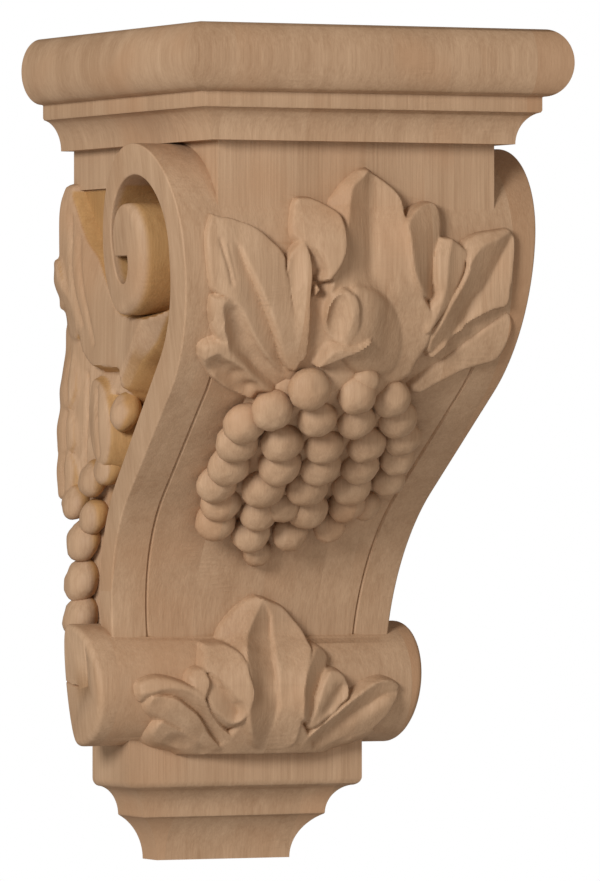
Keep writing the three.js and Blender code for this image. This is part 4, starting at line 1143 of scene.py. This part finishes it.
def raw_wood():
    """Raw sanded wood with upright grain, glued up from boards side by side; its recesses are browner from
    painted shade and rough end grain, and its creases carry painted shade.
    """
    material = bpy.data.materials.new("raw_wood")
    material.use_nodes = True
    tree = material.node_tree
    tree.nodes.clear()

    def node(kind, settings=None, values=None, out=0):
        return add_node(tree, kind, settings, values, out)

    def noise(vector, scale, detail, rough=0.5):
        return node("ShaderNodeTexNoise", values={0: vector, "Scale": scale, "Detail": detail,
                                                  "Roughness": rough}) - 0.5

    def between(value, low, high, most=1.0):
        return node("ShaderNodeMapRange", {"interpolation_type": "SMOOTHSTEP"},
                    {0: value, 1: low, 2: high, 3: 0.0, 4: most})

    def blend(share, first, second, how="MIX"):
        return node("ShaderNodeMix", {"data_type": "RGBA", "blend_type": how},
                    {0: share, 6: first, 7: second}, out=2)

    place = node("ShaderNodeTexCoord", out="Object")
    across, back, up = (node("ShaderNodeSeparateXYZ", values={0: place}, out=axis) for axis in "XYZ")
    facing = node("ShaderNodeNewGeometry", out="Normal")
    sideways, upright = (node("ShaderNodeSeparateXYZ", values={0: facing}, out=axis) for axis in ("X", "Z"))
    strips = node("ShaderNodeValToRGB",
                  {"stops": [(at, (shade,) * 3) for at, shade in BOARDS], "steps": "CONSTANT"},
                  {0: across * (1 / (WIDTH * MM)) + 0.5})
    board = node("ShaderNodeSeparateColor", values={0: strips})
    shifted = node("ShaderNodeCombineXYZ", values={0: board * 3.0, 1: board * 5.0, 2: board * 7.0})
    moved = node("ShaderNodeVectorMath", {"operation": "ADD"}, {0: place, 1: shifted})
    along = node("ShaderNodeMapping", values={0: moved, "Scale": (1.0, 1.0, 0.045)})
    fine = node("ShaderNodeMapping", values={0: moved, "Scale": (1.0, 1.0, 0.02)})
    level = node("ShaderNodeMapping", values={0: moved, "Scale": (0.12, 0.12, 1.0)})

    figure = noise(along, 70.0, 3.0, 0.55)
    streak = noise(along, 480.0, 4.0, 0.65)
    pores = noise(fine, 1500.0, 2.0, 0.6)
    cloud = noise(moved, 17.0, 2.0)
    warmth = noise(moved, 26.0, 1.0)
    fibre = noise(moved, 700.0, 3.0)
    chatter = noise(level, 900.0, 2.0)

    end_grain = between(upright.math("ABSOLUTE"), 0.72, 0.97)
    tone = 0.5 + figure * 1.2 + streak * 1.0 + pores * 0.8
    tone = tone + (board - 0.5) * 0.3 + cloud * 0.6 - end_grain * 0.3
    tint = blend(tone.math("MINIMUM", 1.0).math("MAXIMUM", 0.0), (*DARK_WOOD, 1.0), (*PALE_WOOD, 1.0))
    red = between(warmth, 0.0, 0.25, 0.5) + (0.3 - board).math("MAXIMUM", 0.0) * 2.5
    tint = blend(red.math("MINIMUM", 0.8), tint, (*RED_WOOD, 1.0))
    # The side-panel recesses, set in from the sides and behind the front but not the raised leaf, are browned
    # by one multiply that stands for both painted shade and the rough end grain's own browner tone
    out = across.math("ABSOLUTE")
    off_floor = out - up * PANEL["taper"] - (PANEL["half"] - PANEL["taper"] * TOP) * MM
    off_side = up * SIDE["taper"] + (SIDE["half"] - SIDE["taper"] * TOP) * MM - out
    depths = [(d / HEIGHT, (float(front_at(d)) / DEPTH,) * 3) for d in FRONT_DROPS]
    fronts = node("ShaderNodeValToRGB", {"stops": depths}, {0: 0.5 - up * (1 / (HEIGHT * MM))})
    behind = node("ShaderNodeSeparateColor", values={0: fronts}) * (DEPTH * MM) + back
    field = between(sideways.math("ABSOLUTE"), 0.5, 0.8) * between(off_floor, 0.0025, 0.0045)
    recess = between(off_side, 0.001, 0.004) * between(behind, 0.007, 0.010) * (1 - field)
    recess = recess * between(up, -0.072, -0.068) * (1 - between(up, 0.0955, 0.0965))
    recess = recess * (1 - between(back, -0.001, -0.0002))
    tint = blend(recess, tint, (*RECESS_STAIN_AND_SHADE, 1.0), "MULTIPLY")
    # Painted shade in creases and hollows, found from pointiness
    crease_shade = 1 - between(node("ShaderNodeNewGeometry", out="Pointiness"), 0.40, 0.475)
    colour = blend(crease_shade, tint, (*CREASE_SHADE, 1.0), "MULTIPLY")

    torn = between(noise(moved, 55.0, 1.0), 0.1, 0.17) * (1 - end_grain)
    rough = 0.62 + streak * 0.16 + end_grain * 0.08 + torn * 0.1
    height = streak * 0.5 + pores * 0.6 + fibre * (0.35 + end_grain * 0.8) + chatter * torn * 1.6
    bump = node("ShaderNodeBump", values={"Strength": 0.3, "Distance": 0.0006, "Height": height})
    shader = node("ShaderNodeBsdfPrincipled", values={"Base Color": colour, "Roughness": rough,
                                                      "Normal": bump, "Specular IOR Level": 0.22})
    node("ShaderNodeOutputMaterial", values={"Surface": shader})
    return material


def pale_floor():
    material = bpy.data.materials.new("pale_floor")
    material.use_nodes = True
    shader = material.node_tree.nodes["Principled BSDF"]
    shader.inputs["Base Color"].default_value = (0.75, 0.75, 0.75, 1.0)
    shader.inputs["Roughness"].default_value = 0.8
    return material


# The bracket
def bracket(wood):
    tree = grape_tree()
    body = across_both("carved_corbel", scroll_outline(), side_half, 6, 12)
    timber = [
        panel_core(), cap(), stepped_drop(), roll(),
        block("neck", NECK["half"], 0.0, NECK["forward"], NECK["start"], NECK["panel_drop"]),
        block("neck_front", NECK["half"], NECK["front_start"], NECK["forward"], NECK["start"],
              NECK["front_drop"]),
    ]
    carve(body, timber, "UNION")
    carve(body, [cut for side in (-1, 1) for cut in (groove(side), *roll_end_lines(side))], "DIFFERENCE")
    carving = [
        relief("front_leaf", on_front, ((-66, 66), (46, 136)), LEAF_STEP, FRONT_LEAF),
        relief("bunch_mound", on_front, ((-48, 48), (108, 200)), MOUND_STEP, BUNCH_MOUND),
        relief("roll_leaf", on_roll, ((-60, 60), (202, 265.6)), LEAF_STEP, ROLL_LEAF,
               bottom=ROLL_LEAF_BOTTOM),
        grapes("front_bunch", on_front, FRONT_GRAPES, wood, tree),
    ]
    for side in (1, -1):
        carving.append(relief("side_leaf", on_side, ((-12, 106), (48, 176)), SIDE_LEAF_STEP, SIDE_LEAF, side))
        carving.append(relief("side_bed", on_side, ((-2, 54), (142, 236)), MOUND_STEP, SIDE_BED, side))
        carving.append(grapes("side_bunch", on_side, SIDE_GRAPES, wood, tree, side))
    carve(body, carving, "UNION")
    carve(body, [block("behind_wall", 200.0, -200.0, 0.0, -400.0, 700.0)], "DIFFERENCE")
    return body


SHARP_EDGE = math.radians(42)
wood = raw_wood()
corbel = bracket(wood)
corbel.data.materials.clear()
corbel.data.materials.append(wood)
corbel.data.shade_smooth()
corbel.data.set_sharp_from_angle(angle=SHARP_EDGE)
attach(corbel, "root")
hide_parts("corbel")

# The stage
FLOOR_DROP = 750.0
FLOOR_HALF = 3000.0
floor_corners = point([-FLOOR_HALF, FLOOR_HALF, FLOOR_HALF, -FLOOR_HALF],
                      [FLOOR_HALF, FLOOR_HALF, -FLOOR_HALF, -FLOOR_HALF], [FLOOR_DROP] * 4)
floor = mesh_object("floor", floor_corners, [(0, 1, 2, 3)])
floor.data.materials.append(pale_floor())


def soft_light(name, place, aim, size, power, colour=(1.0, 1.0, 1.0)):
    data = bpy.data.lights.new(name, "AREA")
    data.shape = "DISK"
    data.size = size
    data.energy = power
    data.color = colour
    made = bpy.data.objects.new(name, data)
    made.location = place
    made.rotation_euler = (Vector(aim) - Vector(place)).to_track_quat("-Z", "Y").to_euler()
    bpy.context.scene.collection.objects.link(made)


MIDDLE = (0.0, -0.07, 0.0)
soft_light("key", (-1.38, -1.1, 0.5), MIDDLE, 0.6, 27.5, (0.93, 0.975, 1.0))
soft_light("fill", (0.6, -1.8, 0.2), MIDDLE, 1.2, 4.8)

world = bpy.data.worlds.new("studio")
bpy.context.scene.world = world
world.use_nodes = True
world.node_tree.nodes.clear()
sky = add_node(world.node_tree, "ShaderNodeBackground", values={0: (1.0, 0.9, 0.76, 1.0), 1: 0.24})
backdrop = add_node(world.node_tree, "ShaderNodeBackground", values={0: (1.0, 1.0, 1.0, 1.0), 1: 1.0})
seen = add_node(world.node_tree, "ShaderNodeLightPath", out="Is Camera Ray")
add_node(world.node_tree, "ShaderNodeOutputWorld",
         values={0: add_node(world.node_tree, "ShaderNodeMixShader", values={0: seen, 1: sky, 2: backdrop})})

# The camera stands to the left of the middle, level with it, a long way off
TURN = math.radians(24.98)
TILT = math.radians(-0.02)
AWAY = 3.0
AIM = Vector((0.01903, -0.040, 0.00358))
SENSOR = 36.0
PHOTO_HEIGHT = 881
FOCAL_LENGTH_IN_PIXELS = 8086.8
view = Vector((math.sin(TURN) * math.cos(TILT), math.cos(TURN) * math.cos(TILT), math.sin(TILT)))
lens = bpy.data.cameras.new("camera")
lens.sensor_fit = "AUTO"
lens.sensor_width = SENSOR
lens.lens = FOCAL_LENGTH_IN_PIXELS / PHOTO_HEIGHT * SENSOR
camera = bpy.data.objects.new("camera", lens)
camera.location = AIM - view * AWAY
camera.rotation_euler = view.to_track_quat("-Z", "Y").to_euler()
bpy.context.scene.collection.objects.link(camera)
bpy.context.scene.camera = camera
bpy.context.scene.view_settings.view_transform = "Standard"
